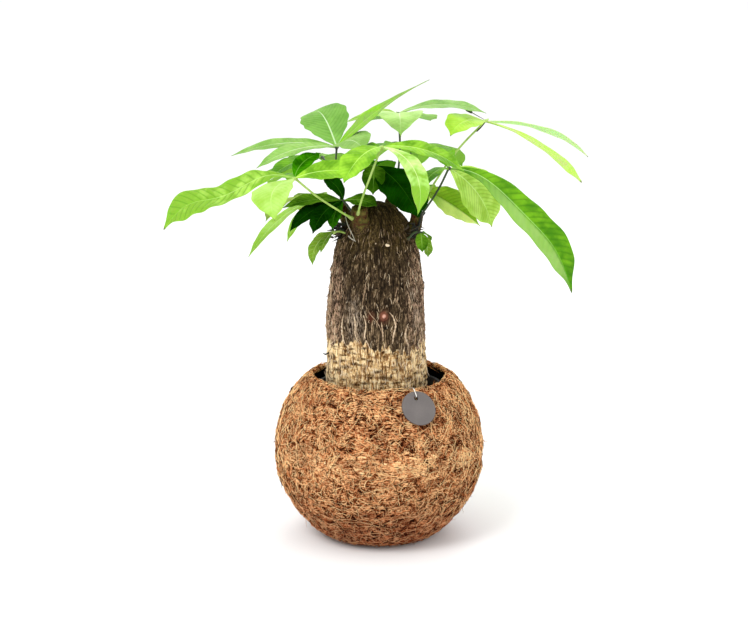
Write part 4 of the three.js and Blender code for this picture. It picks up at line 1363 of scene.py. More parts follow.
def add_cut_face(surfaces, path, outline):
    """A thin domed disc that covers the cut end: rings of the end's outline, drawn in step by step."""
    inset, sunk, domed = 0.97, 0.4, 0.55
    ahead = unit(path[-1] - path[-2])
    sides = len(outline)
    steps = 8
    ring = tube_rings(path[-2:], np.stack([outline, outline]), sides)[1] - path[-1]
    share = np.linspace(1, 0.08, steps)[:, None, None]
    height = 0.5 * smooth(1.0, 0.8, share) + 0.25 * np.sin(9 * share) * share
    points = path[-1] + ring[None] * share * inset + ahead * (0.05 + height)
    floor = path[-1] - ahead * sunk + ring * inset
    grid = np.vstack([floor[None], points]).reshape(-1, 3)
    count = (steps + 1) * sides
    faces = [
        grid_faces(steps + 1, sides),
        fan_faces(np.arange(sides) + count - sides, count),
        fan_faces(np.arange(sides), count + 1, flip=True),
    ]
    closing = [path[-1] + ahead * domed, path[-1] - ahead * sunk]
    surfaces.add(np.vstack([grid, *closing]), faces, finish=1)


def stem_material(looks):
    """Young stem: green-brown, with brown corky scars and pale specks. Its lower part is as dark
    brown as the bark."""
    skin = Material("young_stem")
    scar, share, _ = skin.value("stem")
    drift = skin.noise((0.22, 0.22, 0.18), 4.0, 0.6)
    fine = skin.noise((1.1, 1.1, 0.5), 4.0, 0.7)
    colour = skin.ramp(
        drift,
        (0.34, (0.012, 0.01, 0.003)), (0.46, (0.075, 0.026, 0.012)), (0.54, looks.stem),
        (0.66, (0.13, 0.095, 0.025)),
    )
    bark = skin.ramp(
        fine, (0.4, (0.008, 0.005, 0.003)), (0.5, looks.bark), (0.66, (0.2, 0.14, 0.06))
    )
    colour = skin.over(
        colour,
        (skin.step(fine, 0.5, 0.62, 0.0, 0.5), (0.17, 0.115, 0.03)),
        (scar * 0.5, (0.06, 0.018, 0.01)),
        (skin.step(share + drift * 0.5, 0.95, 0.65), bark),
    )
    return skin.feed(colour, skin.step(fine, 0.3, 0.7, 0.55, 0.85), (fine, 0.9, 0.8), 0.03)


def cut_material(looks):
    """A dry cut through wood: pale, with rings and cracks."""
    skin = Material("cut_wood")
    grain = skin.noise(0.5, 5.0, 0.7)
    colour = skin.ramp(
        grain, (0.3, (0.02, 0.018, 0.002)), (0.5, (0.05, 0.042, 0.005)), (0.7, looks.cut_wood)
    )
    return skin.feed(colour, skin.step(grain, 0.3, 0.7, 0.95, 0.75), (grain, 0.6, 0.6), 0.05)


def make_dry_scales():
    """Dry scales, dead stalk stubs and a pale dry thread on the stump's shoulders: tapered tubes,
    each along a short curve that leaves the bark and bends outwards."""
    surfaces = Surfaces()
    draw = np.random.default_rng(71)
    clusters = [
        ((-35, -14, 303), 34, (4, 8)), ((-40, 0, 300), 14, (4, 7)), ((31, -16, 303), 18, (4, 7)),
        ((8, 26, 306), 10, (3, 6)),
    ]
    t = np.linspace(0, 1, 7)[:, None]
    for centre, count, (aside, upward) in clusters:
        centre = np.array(centre, float)
        out = unit(np.array([centre[0] - TRUNK_X, centre[1], 12.0]))
        for _ in range(count):
            start = centre + draw.uniform(-1, 1, 3) * (aside, aside, upward)
            heading = unit(out + draw.normal(0, 0.55, 3))
            bend = draw.normal(0, 0.5, 3)
            length = draw.uniform(5, 12)
            path = start + heading * length * t + bend * length * 0.4 * t**2
            radius = draw.uniform(0.5, 1.3) * (1 - t**1.5 * 0.9)
            surfaces.add_tube(path, radius, 6, scale=(0.75 * draw.random(), 0, 0))
    rows = 12
    taper = 1 - 0.5 * np.linspace(0, 1, rows) ** 2
    for points, radius, tone in [
        ([(-32.5, -12, 320), (-30, -24, 311), (-24.5, -31, 300), (-22.5, -35, 296)], 0.55, 0.95),
        ([(-29, -27, 300), (-26, -32, 298), (-23, -35, 297)], 0.7, 0.9),
        ([(33, -12, 300), (38, -15, 310), (40, -15, 322)], 1.5, 0.15),
        ([(30, -4, 300), (39, 0, 312), (44, 1, 318)], 1.3, 0.1),
        ([(-47, -10, 184), (-51, -12, 182), (-54, -14, 183)], 0.9, 0.2),
        ([(103, 59, 398), (99, 57, 393), (95, 54, 389)], 1.1, 0.42),
        ([(84.5, 39, 412.5), (87, 41, 410.5), (89.5, 43, 408.5)], 2.0, 0.42),
        ([(88, 42, 409.5), (95, 50, 405), (102, 58, 400.5)], 0.45, 0.42),
    ]:
        surfaces.add_tube(curve_through(points, rows), radius * taper, 8, scale=(tone, 0, 0))
    skin = Material("dry_scale")
    fine = skin.noise((0.9, 0.9, 0.4), 4.0, 0.7)
    colour = skin.ramp(
        skin.value("scale")[0] + (fine - 0.5) * 0.5,
        (0.0, (0.006, 0.006, 0.004)), (0.45, (0.02, 0.024, 0.01)), (0.75, (0.09, 0.06, 0.035)),
        (0.95, (0.5, 0.46, 0.38)),
    )
    material = skin.feed(colour, skin.step(fine, 0.3, 0.7, 0.6, 0.9), (fine, 0.6, 0.4))
    surfaces.piece("dry_scales", [material], "shoot")


# Leaves.


def blade_outline(share, blunt):
    """The half width of a blade as a share of its widest: narrow at the hub, widest past the
    middle, and drawn out to a drip tip. A smaller blunt keeps it wide nearer to the tip."""
    rise, fall = 1.15, 0.8675 * blunt
    widest = rise / (rise + fall)
    form = share**rise * (1 - share) ** fall
    return form / (widest**rise * (1 - widest) ** fall) * (1 - 0.6 * smooth(0.84, 0.98, share))


def level_arc(arch, sag, share):
    """How far forward and up a leaflet of length 1 that starts level has come: the sums of the
    cosine and the sine of its fall over 48 short pieces."""
    pieces = 48
    middle = share[:, None] * (np.arange(pieces) + 0.5) / pieces
    fall = math.radians(arch) * middle**sag
    return (np.cos(fall).sum(1) * share / pieces, -np.sin(fall).sum(1) * share / pieces)


def there_and_back(values):
    """The columns of a blade's upper side, followed by the same ones backwards for below."""
    return np.concatenate([values, values[:, ::-1]], 1)


def leaflet_spine(hub, tip, arch, sag, roll, twist, bow, dip):
    """A leaflet's midrib: an arc from the hub to the tip in an upright plane, swung sideways by
    bow; it rises, sinks and rises again by dip. It comes as the leaflet's length and, for each
    step, the share of the way along, the place, the direction across the blade, which roll and
    twist turn, and the direction out of its upper side."""
    hub, chord = np.asarray(hub, float), np.subtract(tip, hub).astype(float)
    flat = math.hypot(chord[0], chord[1])
    ahead = np.array([chord[0] / flat, chord[1] / flat, 0])
    across = np.array([-ahead[1], ahead[0], 0])
    whole_forward, whole_up = (part[0] for part in level_arc(arch, sag, np.ones(1)))
    length = np.linalg.norm(chord) / math.hypot(whole_forward, whole_up)
    rise = math.atan2(chord[2], flat) - math.atan2(whole_up, whole_forward)
    rows = int(np.clip(length / 1.6, 16, 84))
    even = (np.arange(rows) + 0.1) / (rows - 0.9)
    share = 0.6 * even + 0.4 * (0.5 - 0.5 * np.cos(np.pi * even))
    forward, upward = level_arc(arch, sag, share)
    centre = (
        hub
        + np.outer(length * (forward * math.cos(rise) - upward * math.sin(rise)), ahead)
        + np.outer(4 * bow * share * (1 - share), across)
    )
    centre[:, 2] += length * (forward * math.sin(rise) + upward * math.cos(rise))
    centre[:, 2] += dip * np.sin(1.5 * TURN * share)
    slope = rise - math.radians(arch) * share**sag
    along = np.outer(np.cos(slope), ahead)
    along[:, 2] = np.sin(slope)
    up = np.cross(along, across)
    angle = np.radians(roll + twist * share)[:, None]
    side = across * np.cos(angle) + up * np.sin(angle)
    return length, share, centre, side, np.cross(along, side)


def leaflet_blade(
    hub, draw, tip, width, arch, sag=1.0, roll=0.0, twist=0.0, bow=0.0, dip=0.0, cup=0.12,
    wave=0.6, ripples=2.5, phase=0.0, blunt=1.0, relief=0.3,
):
    """One leaflet as a closed blade along its midrib. Across it the halves rise by cup from a
    groove along the midrib, the margins ripple by wave, and the skin bulges by relief between the
    side veins. The underside follows at the blade's thickness, with the midrib standing out below.
    It comes as points, faces and the attributes that blade_group() reads."""
    length, share, centre, side, normal = leaflet_spine(hub, tip, arch, sag, roll, twist, bow, dip)
    rows, columns = len(share), 19
    centre, side, normal = centre[:, None, :], side[:, None, :], normal[:, None, :]
    least = 0.5 * (1 - 0.7 * smooth(0.96, 1, share))
    half = np.maximum(width / 2 * blade_outline(share, blunt), least)[:, None]
    even = np.linspace(1, -1, columns)
    a = (np.sign(even) * np.abs(even) ** 1.25)[None, :]
    s, edge = share[:, None], np.abs(a)
    jitter = draw.uniform(-0.12, 0.12, 4)
    scallops = 0.035 * np.sin(TURN * (5 + 9 * jitter[0]) * s + 3 * np.sign(a)) * smooth(4, 9, half)
    off = a * half * (1 + scallops * edge**3)
    far = np.abs(off)
    waves = wave * np.sin(TURN * ripples * s + 2 * a + phase)
    waves = waves + 0.22 * wave * np.sin(TURN * (6 + jitter[1] * 9) * s - 3 * a)
    spacing = np.clip(length / 17, 4.2, 7.5)
    stagger = np.where(off > 0, 0.5, 0.0) * smooth(0.2, 0.6, far)
    vein = (s * length - 0.62 * far - 0.012 * off**2) / spacing + 100 + stagger
    between = 1 - (2 * np.abs(vein % 1 - 0.5)) ** 2
    inside = smooth(0.04, 0.2, edge) * (1 - smooth(0.8, 1, edge))
    inside = inside * smooth(0.03, 0.12, s) * (1 - smooth(0.9, 1, s))
    bulge = relief * inside * np.minimum(half / 10, 1) * between
    lift = cup * half * (np.sqrt(a**2 + 0.012) - 0.11) + waves * a**2 * np.minimum(half / 8, 1)
    skin = centre + off[..., None] * side + lift[..., None] * normal
    groove = 0.28 * hill(off, 0.8) * smooth(1, 3, half)
    top = skin + (bulge - groove)[..., None] * normal
    midrib = 1.3 * (1 - s) ** 1.4 + 0.25 * (1 - s)
    depth = 0.42 + midrib * hill(off, 0.95)
    bottom = skin + (bulge * 0.8 - depth)[..., None] * normal
    ring = np.concatenate([top, bottom[:, ::-1]], 1)

    number = 2 * columns
    chance = np.full((rows, 1), draw.random())
    blade = triples(there_and_back(vein), there_and_back(off), s)
    face = triples(np.arange(number) < columns, there_and_back(a), chance)
    k = np.arange(columns - 1)
    cap = np.stack([k, number - 1 - k, number - 2 - k, k + 1], -1)
    faces = [grid_faces(rows, number), cap, cap[:, ::-1] + (rows - 1) * number]
    return ring.reshape(-1, 3), faces, blade.reshape(-1, 3), face.reshape(-1, 3)


def greens(looks):
    """Each green: the upper side and its deeper tone, the underside, the side veins and their
    strength, the midrib and its half width, and how much deeper it gets towards the tip. Side
    veins darker than the green are painted shade in the creases along them."""
    return {
        "striped": ((0.43, 0.65, 0.12), (0.19, 0.37, 0.025), (0.42, 0.64, 0.13),
                    (0.08, 0.22, 0.01), 0.5, (0.42, 0.64, 0.17), 0.45, 0.5),
        "long": ((0.2, 0.44, 0.02), (0.2, 0.3, 0.08), (0.26, 0.44, 0.06),
                 (0.12, 0.26, 0.02), 0.12, (0.32, 0.5, 0.12), 0.45, 1.0),
        "citrus": ((0.42, 0.67, 0.07), (0.28, 0.5, 0.03), (0.42, 0.66, 0.1),
                   (0.24, 0.44, 0.03), 0.2, (0.56, 0.78, 0.2), 0.45, 0.2),
        "sheen": ((0.16, 0.37, 0.008), (0.05, 0.19, 0.001), (0.28, 0.46, 0.11),
                  (0.035, 0.15, 0.001), 0.4, (0.4, 0.62, 0.2), 0.5, 0.2),
        "halved": ((0.42, 0.6, 0.05), (0.26, 0.42, 0.022), (0.88, 1.0, 0.36),
                   (0.12, 0.24, 0.01), 0.35, (0.14, 0.28, 0.015), 0.45, 0.2),
        "mint": ((0.53, 0.76, 0.33), (0.5, 0.58, 0.28), (0.52, 0.76, 0.32),
                 (0.42, 0.62, 0.22), 0.1, (0.6, 0.8, 0.42), 0.4, 0.0),
        "yellow": ((0.43, 0.72, 0.09), (0.44, 0.52, 0.18), (0.43, 0.72, 0.1),
                   (0.5, 0.66, 0.16), 0.1, (0.66, 0.82, 0.3), 0.4, 0.0),
        "lime": (looks.lime_leaf, (0.27, 0.46, 0.05), (0.48, 0.7, 0.15),
                 (0.24, 0.44, 0.05), 0.12, (0.52, 0.74, 0.26), 0.5, 0.15),
        "light": (looks.light_leaf, (0.2, 0.38, 0.035), (0.42, 0.64, 0.13),
                  (0.1, 0.26, 0.012), 0.18, (0.46, 0.68, 0.2), 0.5, 0.0),
        "bright": ((0.54, 0.82, 0.26), (0.22, 0.42, 0.035), (0.5, 0.7, 0.2),
                   (0.3, 0.5, 0.05), 0.12, (0.64, 0.84, 0.36), 0.5, 1.0),
        "fresh": (looks.fresh_leaf, (0.11, 0.29, 0.005), (0.36, 0.62, 0.06),
                  (0.13, 0.35, 0.003), 0.12, (0.54, 0.8, 0.2), 0.45, 0.0),
        # Painted light: the pale green of the leaves at the top of the crown stands for the bright
        # light on them.
        "pale": (looks.lit_pale_leaf, (0.17, 0.33, 0.06), (0.34, 0.52, 0.17),
                 (0.13, 0.29, 0.05), 0.18, (0.56, 0.7, 0.42), 0.5, 0.15),
        "glass": ((0.42, 0.64, 0.19), (0.27, 0.46, 0.1), (0.42, 0.64, 0.19),
                  (0.22, 0.42, 0.08), 0.12, (0.6, 0.76, 0.42), 0.5, 0.1),
        "round": ((0.19, 0.38, 0.07), (0.12, 0.28, 0.04), (0.25, 0.45, 0.13),
                  (0.06, 0.18, 0.02), 0.26, (0.58, 0.72, 0.46), 0.7, 0.0),
        "grey": ((0.27, 0.45, 0.13), (0.18, 0.34, 0.08), (0.32, 0.52, 0.15),
                 (0.15, 0.3, 0.06), 0.15, (0.45, 0.62, 0.26), 0.5, 0.0),
        "mid": (looks.full_leaf, (0.065, 0.21, 0.003), (0.22, 0.44, 0.04),
                (0.045, 0.17, 0.002), 0.2, (0.3, 0.5, 0.1), 0.5, 0.4),
        "glow": ((0.52, 0.74, 0.15), (0.31, 0.51, 0.045), (0.5, 0.74, 0.13),
                 (0.2, 0.38, 0.03), 0.5, (0.66, 0.86, 0.36), 0.45, 0.3),
        "veined": ((0.21, 0.34, 0.025), (0.1, 0.22, 0.008), (0.38, 0.56, 0.1),
                   (0.48, 0.64, 0.18), 0.25, (0.44, 0.62, 0.16), 0.5, 0.3),
        "olive": ((0.13, 0.29, 0.016), (0.03, 0.1, 0.003), (0.18, 0.36, 0.04),
                  (0.03, 0.1, 0.003), 0.3, (0.24, 0.42, 0.08), 0.45, 0.4),
        "shade": ((0.04, 0.23, 0.001), (0.01, 0.08, 0.0005), (0.1, 0.27, 0.015),
                  (0.01, 0.06, 0.0005), 0.3, (0.14, 0.33, 0.04), 0.4, 0.3),
        # Painted shade as well as the old leaves' own darker green, for leaflets deep in the crown.
        "dark": (looks.old_shaded_leaf, (0.0015, 0.02, 0.0002), (0.03, 0.1, 0.006),
                 (0.015, 0.07, 0.002), 0.25, (0.03, 0.12, 0.008), 0.4, 0.0),
    }


# What some greens have of their own: a darker hub end, or one half painted paler, as light falling on
# that half.
BLADE_EXTRAS = {
    "striped": {"Hub Deepening": 0.7},
    "sheen": {"Pale Side": -1.0, "Hub Deepening": 0.5},
    "halved": {"Pale Side": -1.0},
    "mint": {"Hub Deepening": 0.7},
    "yellow": {"Hub Deepening": 0.6},
}


def blade_material(name, tones):
    """The Principled BSDF of one green, fed by the group blade_look."""
    skin = Material("blade_" + name)
    names = (
        "Green", "Deep Green", "Underside", "Vein", "Vein Strength", "Midrib", "Midrib Width",
        "Tip Deepening",
    )
    settings = dict(zip(names, tones)) | BLADE_EXTRAS.get(name, {})
    colour, rough, height = skin.group("blade_look", settings)
    shady = name in ("dark", "shade", "olive")
    skin.connect(skin.shader, {
        "Subsurface Weight": 0.06 if shady else 0.45, "Subsurface Radius": (0.5, 1.0, 0.2),
        "Subsurface Scale": 1.6 * MM,
    })
    return skin.feed(colour, rough, (height, 0.5, 0.5), 0.0 if shady else 0.1)


def stalk_material(name, light, dark):
    """A leaf stalk: smooth, a little darker in places, and brown at its foot."""
    skin = Material(name)
    drift = skin.noise((0.2, 0.2, 0.06), 3.0)
    fine = skin.noise((2.0, 2.0, 0.4), 2.0)
    foot = skin.step(skin.value("stalk")[0], 0.16, 0.0, 0.0, 0.5)
    colour = skin.over(light, (skin.step(drift, 0.35, 0.65), dark), (foot, (0.1, 0.08, 0.02)))
    return skin.feed(colour, skin.step(fine, 0.3, 0.7, 0.35, 0.5), (fine, 0.2, 0.2))


def make_leaves(looks):
    """Every leaf: a stalk along its curve, thicker at the foot and where it meets the hub, a small
    rounded hub, and its leaflets."""
    blades = {name: blade_material(name, tones) for name, tones in greens(looks).items()}
    stalks = {
        "stalk_green": stalk_material("stalk_green", (0.42, 0.58, 0.14), (0.28, 0.44, 0.06)),
        "stalk_dark": stalk_material("stalk_dark", (0.035, 0.07, 0.012), (0.014, 0.024, 0.006)),
    }
    rows, sides = 40, 12
    share = np.linspace(0, 1, rows)
    radius = STALK_FOOT_RADIUS + (STALK_RADIUS - STALK_FOOT_RADIUS) * smooth(0, 0.1, share)
    radius = radius + 0.5 * smooth(0.93, 1, share)
    way_along = triples(np.append(np.repeat(share, sides), (0, 1)), 0, 0)
    for number, (name, (slot, green, stalk, points, hub, leaflets)) in enumerate(LEAVES.items()):
        draw = np.random.default_rng(100 + number)
        surfaces = Surfaces()
        used = sorted({own or green for own, _ in leaflets})
        for own, shape in leaflets:
            skin, faces, blade, face = leaflet_blade(hub, draw, **shape)
            surfaces.add(skin, faces, used.index(own or green), blade=blade, face=face)
        path = curve_through([*points, hub], rows)
        surfaces.add_tube(path, radius, sides, len(used), stalk=way_along)
        add_hub(surfaces, np.array(hub, float), len(used))
        materials = [blades[tone] for tone in used] + [stalks[stalk]]
        surfaces.piece(name + "_blades", materials, slot, name, sharp=50)


def add_hub(surfaces, centre, finish):
    """The swelling where the leaflets meet: a small ball, flatter than it is wide."""
    wide, tall = 2.3, 1.7
    up, turn = np.linspace(-np.pi / 2, np.pi / 2, 12)[:, None], circle(18)[None, :]
    r = wide * np.cos(up) * (1 + 0.1 * np.sin(5 * turn))
    points = centre + polar(r, turn, tall * np.sin(up) - 0.5)
    surfaces.add_turned(points, finish, stalk=np.full(points.shape, 1.0))


# The tag and its wire.


def tag_frame():
    """The tag's middle and its directions: out of its face, up its slope and across it."""
    outward = np.array([math.cos(TAG_ANGLE), math.sin(TAG_ANGLE), 0])
    face = outward * math.cos(TAG_SLOPE) + np.array([0, 0, math.sin(TAG_SLOPE)])
    upslope = -outward * math.sin(TAG_SLOPE) + np.array([0, 0, math.cos(TAG_SLOPE)])
    centre = np.array([0, 0, BALL_CENTRE_Z]) + face * (BALL_RADIUS + TAG_CLEAR)
    return outward, face, upslope, np.cross(upslope, face), centre


def make_tag(looks):
    """The tag: rings that go from the hole's edge out to the rim over the front, round the soft
    edge and back over the rear to the hole, as one closed ring-shaped surface. A place between the
    hole and the rim is a blend of the two circles."""
    _, face, upslope, across, centre = tag_frame()
    sides = 96
    round_edge = polar(1, circle(sides), 0)[:, :2]
    hole = round_edge * TAG_HOLE_RADIUS + (0, TAG_RADIUS - TAG_HOLE_DROP)
    edge = round_edge * TAG_RADIUS
    soft, half = 0.35, TAG_THICKNESS / 2
    front = [(0.0, half - soft), (0.02, half - 0.1), (0.05, half)]
    front += [(share, half) for share in np.linspace(0.1, 0.93, 12)]
    front += [(0.975, half), (0.993, half - 0.1), (1.0, half - soft)]
    section = front + [(share, -depth) for share, depth in front[::-1]]
    rows = []
    for share, depth in section:
        flat = hole * (1 - share) + edge * share
        rows.append(centre + flat[:, :1] * across + flat[:, 1:] * upslope + (half + depth) * face)
    faces = closed_faces(len(rows), sides)[:, ::-1]
    from_hole = np.repeat([share for share, _ in section], sides)
    surfaces = Surfaces()
    surfaces.add(np.stack(rows), [faces], tag=triples(from_hole, 0, 0))
    skin = Material("grey_board")
    pulp = skin.noise(0.8, 5.0, 0.7)
    cloud = skin.noise(0.05, 3.0)
    colour = skin.over(
        looks.tag,
        (skin.step(cloud, 0.3, 0.7), tinted(looks.tag, 1.25)),
        (skin.step(pulp, 0.3, 0.7, 0.0, 0.25), tinted(looks.tag, 0.7)),
        (skin.step(skin.value("tag")[0], 0.975, 1.0, 0.0, 0.5), (0.07, 0.06, 0.055)),
    )
    material = skin.feed(colour, skin.step(pulp, 0.3, 0.7, 0.42, 0.6), (pulp, 0.25, 0.15))
    surfaces.piece("tag_disc", [material], "tag_board", "tag", sharp=40)


def make_tag_wire(looks):
    """The wire: a closed loop in the upright plane through the ball's axis, with a round section.
    It runs through the tag's hole, through the wall and over the rim."""
    outward, face, upslope, _, centre = tag_frame()
    rise = TAG_RADIUS - TAG_HOLE_DROP + TAG_HOLE_RADIUS - WIRE_RADIUS - SEAT_GAP
    through = centre + upslope * rise
    round_rim = [
        (RIM_RADIUS + 1.6, -10.5), (MOUTH_RADIUS + 0.6, -9.5), (MOUTH_RADIUS - 1.1, -4.5),
        (MOUTH_RADIUS - 0.2, 0.2), (MOUTH_RADIUS + 3.4, 0.9), (RIM_RADIUS + 4.6, 2),
        (RIM_RADIUS + 7.6, -0.4),
    ]
    rows, sides = 150, 10
    path = curve_through([
        through + face * 2.8, through - face,
        *(outward * out + (0, 0, BALL_HEIGHT + up) for out, up in round_rim),
    ], rows, closed=True)
    along = unit(np.roll(path, -1, 0) - np.roll(path, 1, 0))
    across = np.cross((0, 0, 1), outward)
    aside = np.cross(along, across)
    angle = circle(sides)[None, :, None]
    ring = path[:, None] + WIRE_RADIUS * (np.cos(angle) * aside[:, None] - np.sin(angle) * across)
    surfaces = Surfaces()
    surfaces.add(ring, [closed_faces(rows, sides)])
    skin = Material("bright_wire")
    stain = skin.noise(0.3, 4.0)
    skin.connect(skin.shader, {"Metallic": 0.9})
    colour = skin.mix(skin.step(stain, 0.4, 0.7), looks.wire, tinted(looks.wire, 0.7))
    material = skin.feed(colour, skin.step(stain, 0.3, 0.7, 0.25, 0.45), (stain, 0.15, 0.1))
    surfaces.piece("tag_wire_loop", [material], "wire", "tag_wire")


# Stage.


def make_stage(looks):
    """A plain pale floor out to the horizon, soft light from the upper left and a bright sky, and
    the camera at the photograph's angle."""
    reach = 40.0
    corners = [(-reach, -reach, 0), (reach, -reach, 0), (reach, reach, 0), (-reach, reach, 0)]
    mesh = bpy.data.meshes.new("floor")
    mesh.from_pydata(corners, [], [(0, 1, 2, 3)])
    skin = Material("pale_floor")
    colour = skin.mix(skin.noise(0.002, 2.0), looks.floor, tinted(looks.floor, 0.995))
    mesh.materials.append(skin.feed(colour, 0.9, gloss=0.1))
    add_object("floor", mesh)

    scene = bpy.context.scene
    world = bpy.data.worlds.new("studio")
    world.use_nodes = True
    background = next(node for node in world.node_tree.nodes if node.type == "BACKGROUND")
    sky = {"Color": looks.sky, "Strength": looks.sky_strength}
    Wiring(world.node_tree).connect(background, sky)
    scene.world = world
    for name, place, size, watts in (
        ("key_light", (-0.9, -1.3, 1.7), 0.9, looks.key_watts),
        ("fill_light", (1.5, -1.2, 0.9), 1.4, looks.fill_watts),
        ("back_light", (0.4, 1.6, 1.5), 1.2, looks.back_watts),
    ):
        light = bpy.data.lights.new(name, "AREA")
        light.size = size
        light.energy = watts
        lamp = add_object(name, light)
        lamp.location = place
        x, y, z = np.subtract(LIT_PLACE, place)
        lamp.rotation_euler = (math.atan2(math.hypot(x, y), -z), 0, math.atan2(y, x) - math.pi / 2)

    camera = bpy.data.cameras.new("camera")
    camera.lens = LENS
    camera.sensor_width = SENSOR_WIDTH
    camera.sensor_fit = "HORIZONTAL"
    camera.clip_end = 100
    eye = add_object("camera", camera)
    eye.location = EYE
    eye.rotation_euler = (math.radians(90 - EYE_TILT), 0, 0)
    scene.camera = eye
    scene.view_settings.view_transform = "Standard"


# The add-on's settings, operators and panel.


def colour_setting(name, description, value):
    """A colour in the add-on's settings."""
    return bpy.props.FloatVectorProperty(
        name=name, description=description, subtype="COLOR", size=3, min=0, max=1, default=value
    )


class CoirLooks(bpy.types.PropertyGroup):
    fibres: bpy.props.IntProperty(
        name="Fibres", description="Fibres in the upper layer", default=3900, min=100, max=6000
    )
    dark_coir: colour_setting("Dark", "The darkest gaps", (0.02, 0.004, 0.001))
    brown_coir: colour_setting("Brown", "The fibres underneath", (0.33, 0.084, 0.022))
    coir: colour_setting("Fibre", "Most fibres", (0.84, 0.355, 0.145))
    golden_coir: colour_setting("Golden", "The lighter fibres", (1.0, 0.61, 0.28))
    pale_coir: colour_setting("Pale", "The lightest fibres", (1.0, 0.77, 0.41))


class EarthLooks(bpy.types.PropertyGroup):
    plastic: colour_setting("Plastic", "The nursery pot", (0.008, 0.008, 0.009))
    soil: colour_setting("Soil", "Moist compost", (0.028, 0.017, 0.01))


class BarkLooks(bpy.types.PropertyGroup):
    bark: colour_setting("Bark", "The bark's own brown", (0.042, 0.026, 0.013))
    peeled_bark: colour_setting("Peeled", "Where the bark has peeled", (0.68, 0.44, 0.19))
    stem: colour_setting("Stem", "Young green stem", (0.055, 0.058, 0.013))
    cut_wood: colour_setting("Cut", "A dry cut", (0.15, 0.13, 0.025))


class LeafLooks(bpy.types.PropertyGroup):
    lime_leaf: colour_setting("Lime", "The youngest leaves", (0.38, 0.58, 0.13))
    light_leaf: colour_setting("Light", "Young leaves", (0.35, 0.56, 0.08))
    fresh_leaf: colour_setting("Fresh", "Glossy young leaves", (0.31, 0.57, 0.035))
    # Painted light: the pale green of the leaves at the top of the crown stands for the bright light
    # on them.
    lit_pale_leaf: colour_setting("Pale", "Pale leaves", (0.27, 0.46, 0.11))
    full_leaf: colour_setting("Full", "Full-grown leaves", (0.18, 0.41, 0.012))
    # Painted shade as well as the old leaves' own darker green: it stands for leaves deep in the
    # crown.
    old_shaded_leaf: colour_setting("Dark", "Old leaves", (0.005, 0.052, 0.0005))


class TagLooks(bpy.types.PropertyGroup):
    tag: colour_setting("Tag", "The tag's board", (0.115, 0.1, 0.096))
    wire: colour_setting("Wire", "The tag's wire", (0.8, 0.78, 0.72))


def level_setting(name, description, value, unit="NONE"):
    """A number of nought or more in the add-on's settings."""
    return bpy.props.FloatProperty(
        name=name, description=description, default=value, min=0, unit=unit
    )


class StageLooks(bpy.types.PropertyGroup):
    floor: colour_setting("Floor", "The floor", (0.92, 0.92, 0.92))
    sky: colour_setting("Sky", "The light all round", (1.0, 1.0, 1.0))
    sky_strength: level_setting("Sky strength", "How bright the light all round is", 1.12)
    key_watts: level_setting("Key", "The light from the upper left", 24, "POWER")
    fill_watts: level_setting("Fill", "The light from the right", 3, "POWER")
    back_watts: level_setting("Back", "The light from behind", 8, "POWER")


class PLANT_OT_coir_ball(bpy.types.Operator):
    """Builds the coconut-fibre ball"""

    bl_idname = "plant.coir_ball"
    bl_label = "Coir ball"

    def execute(self, context):
        fibre_group()
        make_coir_ball(context.scene.coir_looks)
        make_coir_fibres(context.scene.coir_looks)
        return {"FINISHED"}


class PLANT_OT_pot_and_soil(bpy.types.Operator):
    """Builds the nursery pot and the soil in it"""

    bl_idname = "plant.pot_and_soil"
    bl_label = "Pot and soil"

    def execute(self, context):
        make_nursery_pot(context.scene.earth_looks)
        make_soil(context.scene.earth_looks)
        return {"FINISHED"}


class PLANT_OT_trunk(bpy.types.Operator):
    """Builds the stump with its bark and the flakes on it"""

    bl_idname = "plant.trunk"
    bl_label = "Stump"

    def execute(self, context):
        make_trunk(context.scene.bark_looks)
        make_bark_flakes()
        return {"FINISHED"}


class PLANT_OT_shoots(bpy.types.Operator):
    """Builds the shoots, the dry scales and the stubs on the stump's head"""

    bl_idname = "plant.shoots"
    bl_label = "Shoots"

    def execute(self, context):
        make_shoots(context.scene.bark_looks)
        make_dry_scales()
        return {"FINISHED"}


class PLANT_OT_leaves(bpy.types.Operator):
    """Builds the leaves"""

    bl_idname = "plant.leaves"
    bl_label = "Leaves"

    def execute(self, context):
        blade_group()
        make_leaves(context.scene.leaf_looks)
        return {"FINISHED"}


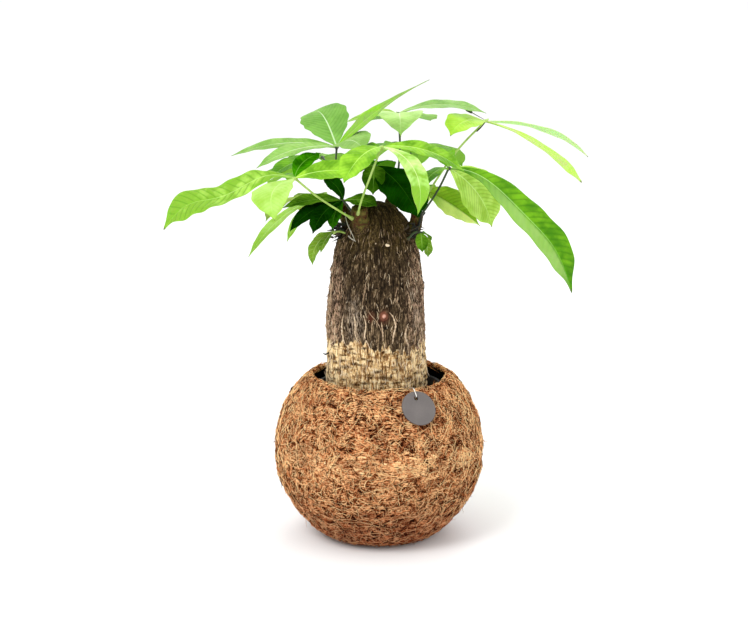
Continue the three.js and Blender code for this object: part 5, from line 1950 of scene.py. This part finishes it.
class PLANT_OT_tag(bpy.types.Operator):
    """Builds the bare tag and its wire"""

    bl_idname = "plant.tag"
    bl_label = "Tag"

    def execute(self, context):
        make_tag(context.scene.tag_looks)
        make_tag_wire(context.scene.tag_looks)
        return {"FINISHED"}


class PLANT_OT_stage(bpy.types.Operator):
    """Builds the floor, the lights and the camera"""

    bl_idname = "plant.stage"
    bl_label = "Stage"

    def execute(self, context):
        make_stage(context.scene.stage_looks)
        return {"FINISHED"}


SETTINGS = {
    "coir_looks": CoirLooks,
    "earth_looks": EarthLooks,
    "bark_looks": BarkLooks,
    "leaf_looks": LeafLooks,
    "tag_looks": TagLooks,
    "stage_looks": StageLooks,
}
OPERATORS = [
    PLANT_OT_stage, PLANT_OT_coir_ball, PLANT_OT_pot_and_soil, PLANT_OT_trunk, PLANT_OT_shoots,
    PLANT_OT_leaves, PLANT_OT_tag,
]


class PLANT_PT_panel(bpy.types.Panel):
    """Lists the settings and the pieces"""

    bl_label = "Potted money tree"
    bl_idname = "PLANT_PT_panel"
    bl_space_type = "VIEW_3D"
    bl_region_type = "UI"
    bl_category = "Plant"

    def draw(self, context):
        for name in SETTINGS:
            box = self.layout.box()
            looks = getattr(context.scene, name)
            for setting in looks.__annotations__:
                box.prop(looks, setting)
        for operator in OPERATORS:
            self.layout.operator(operator.bl_idname)


def register():
    for name, group in SETTINGS.items():
        bpy.utils.register_class(group)
        setattr(bpy.types.Scene, name, bpy.props.PointerProperty(type=group))
    for one in [*OPERATORS, PLANT_PT_panel]:
        bpy.utils.register_class(one)


def unregister():
    for one in reversed([*OPERATORS, PLANT_PT_panel]):
        bpy.utils.unregister_class(one)
    for name, group in reversed(SETTINGS.items()):
        delattr(bpy.types.Scene, name)
        bpy.utils.unregister_class(group)


def main():
    register()
    bpy.ops.plant.stage()
    bpy.ops.plant.coir_ball()
    bpy.ops.plant.pot_and_soil()
    bpy.ops.plant.trunk()
    bpy.ops.plant.shoots()
    bpy.ops.plant.leaves()
    bpy.ops.plant.tag()


if __name__ == "__main__":
    main()
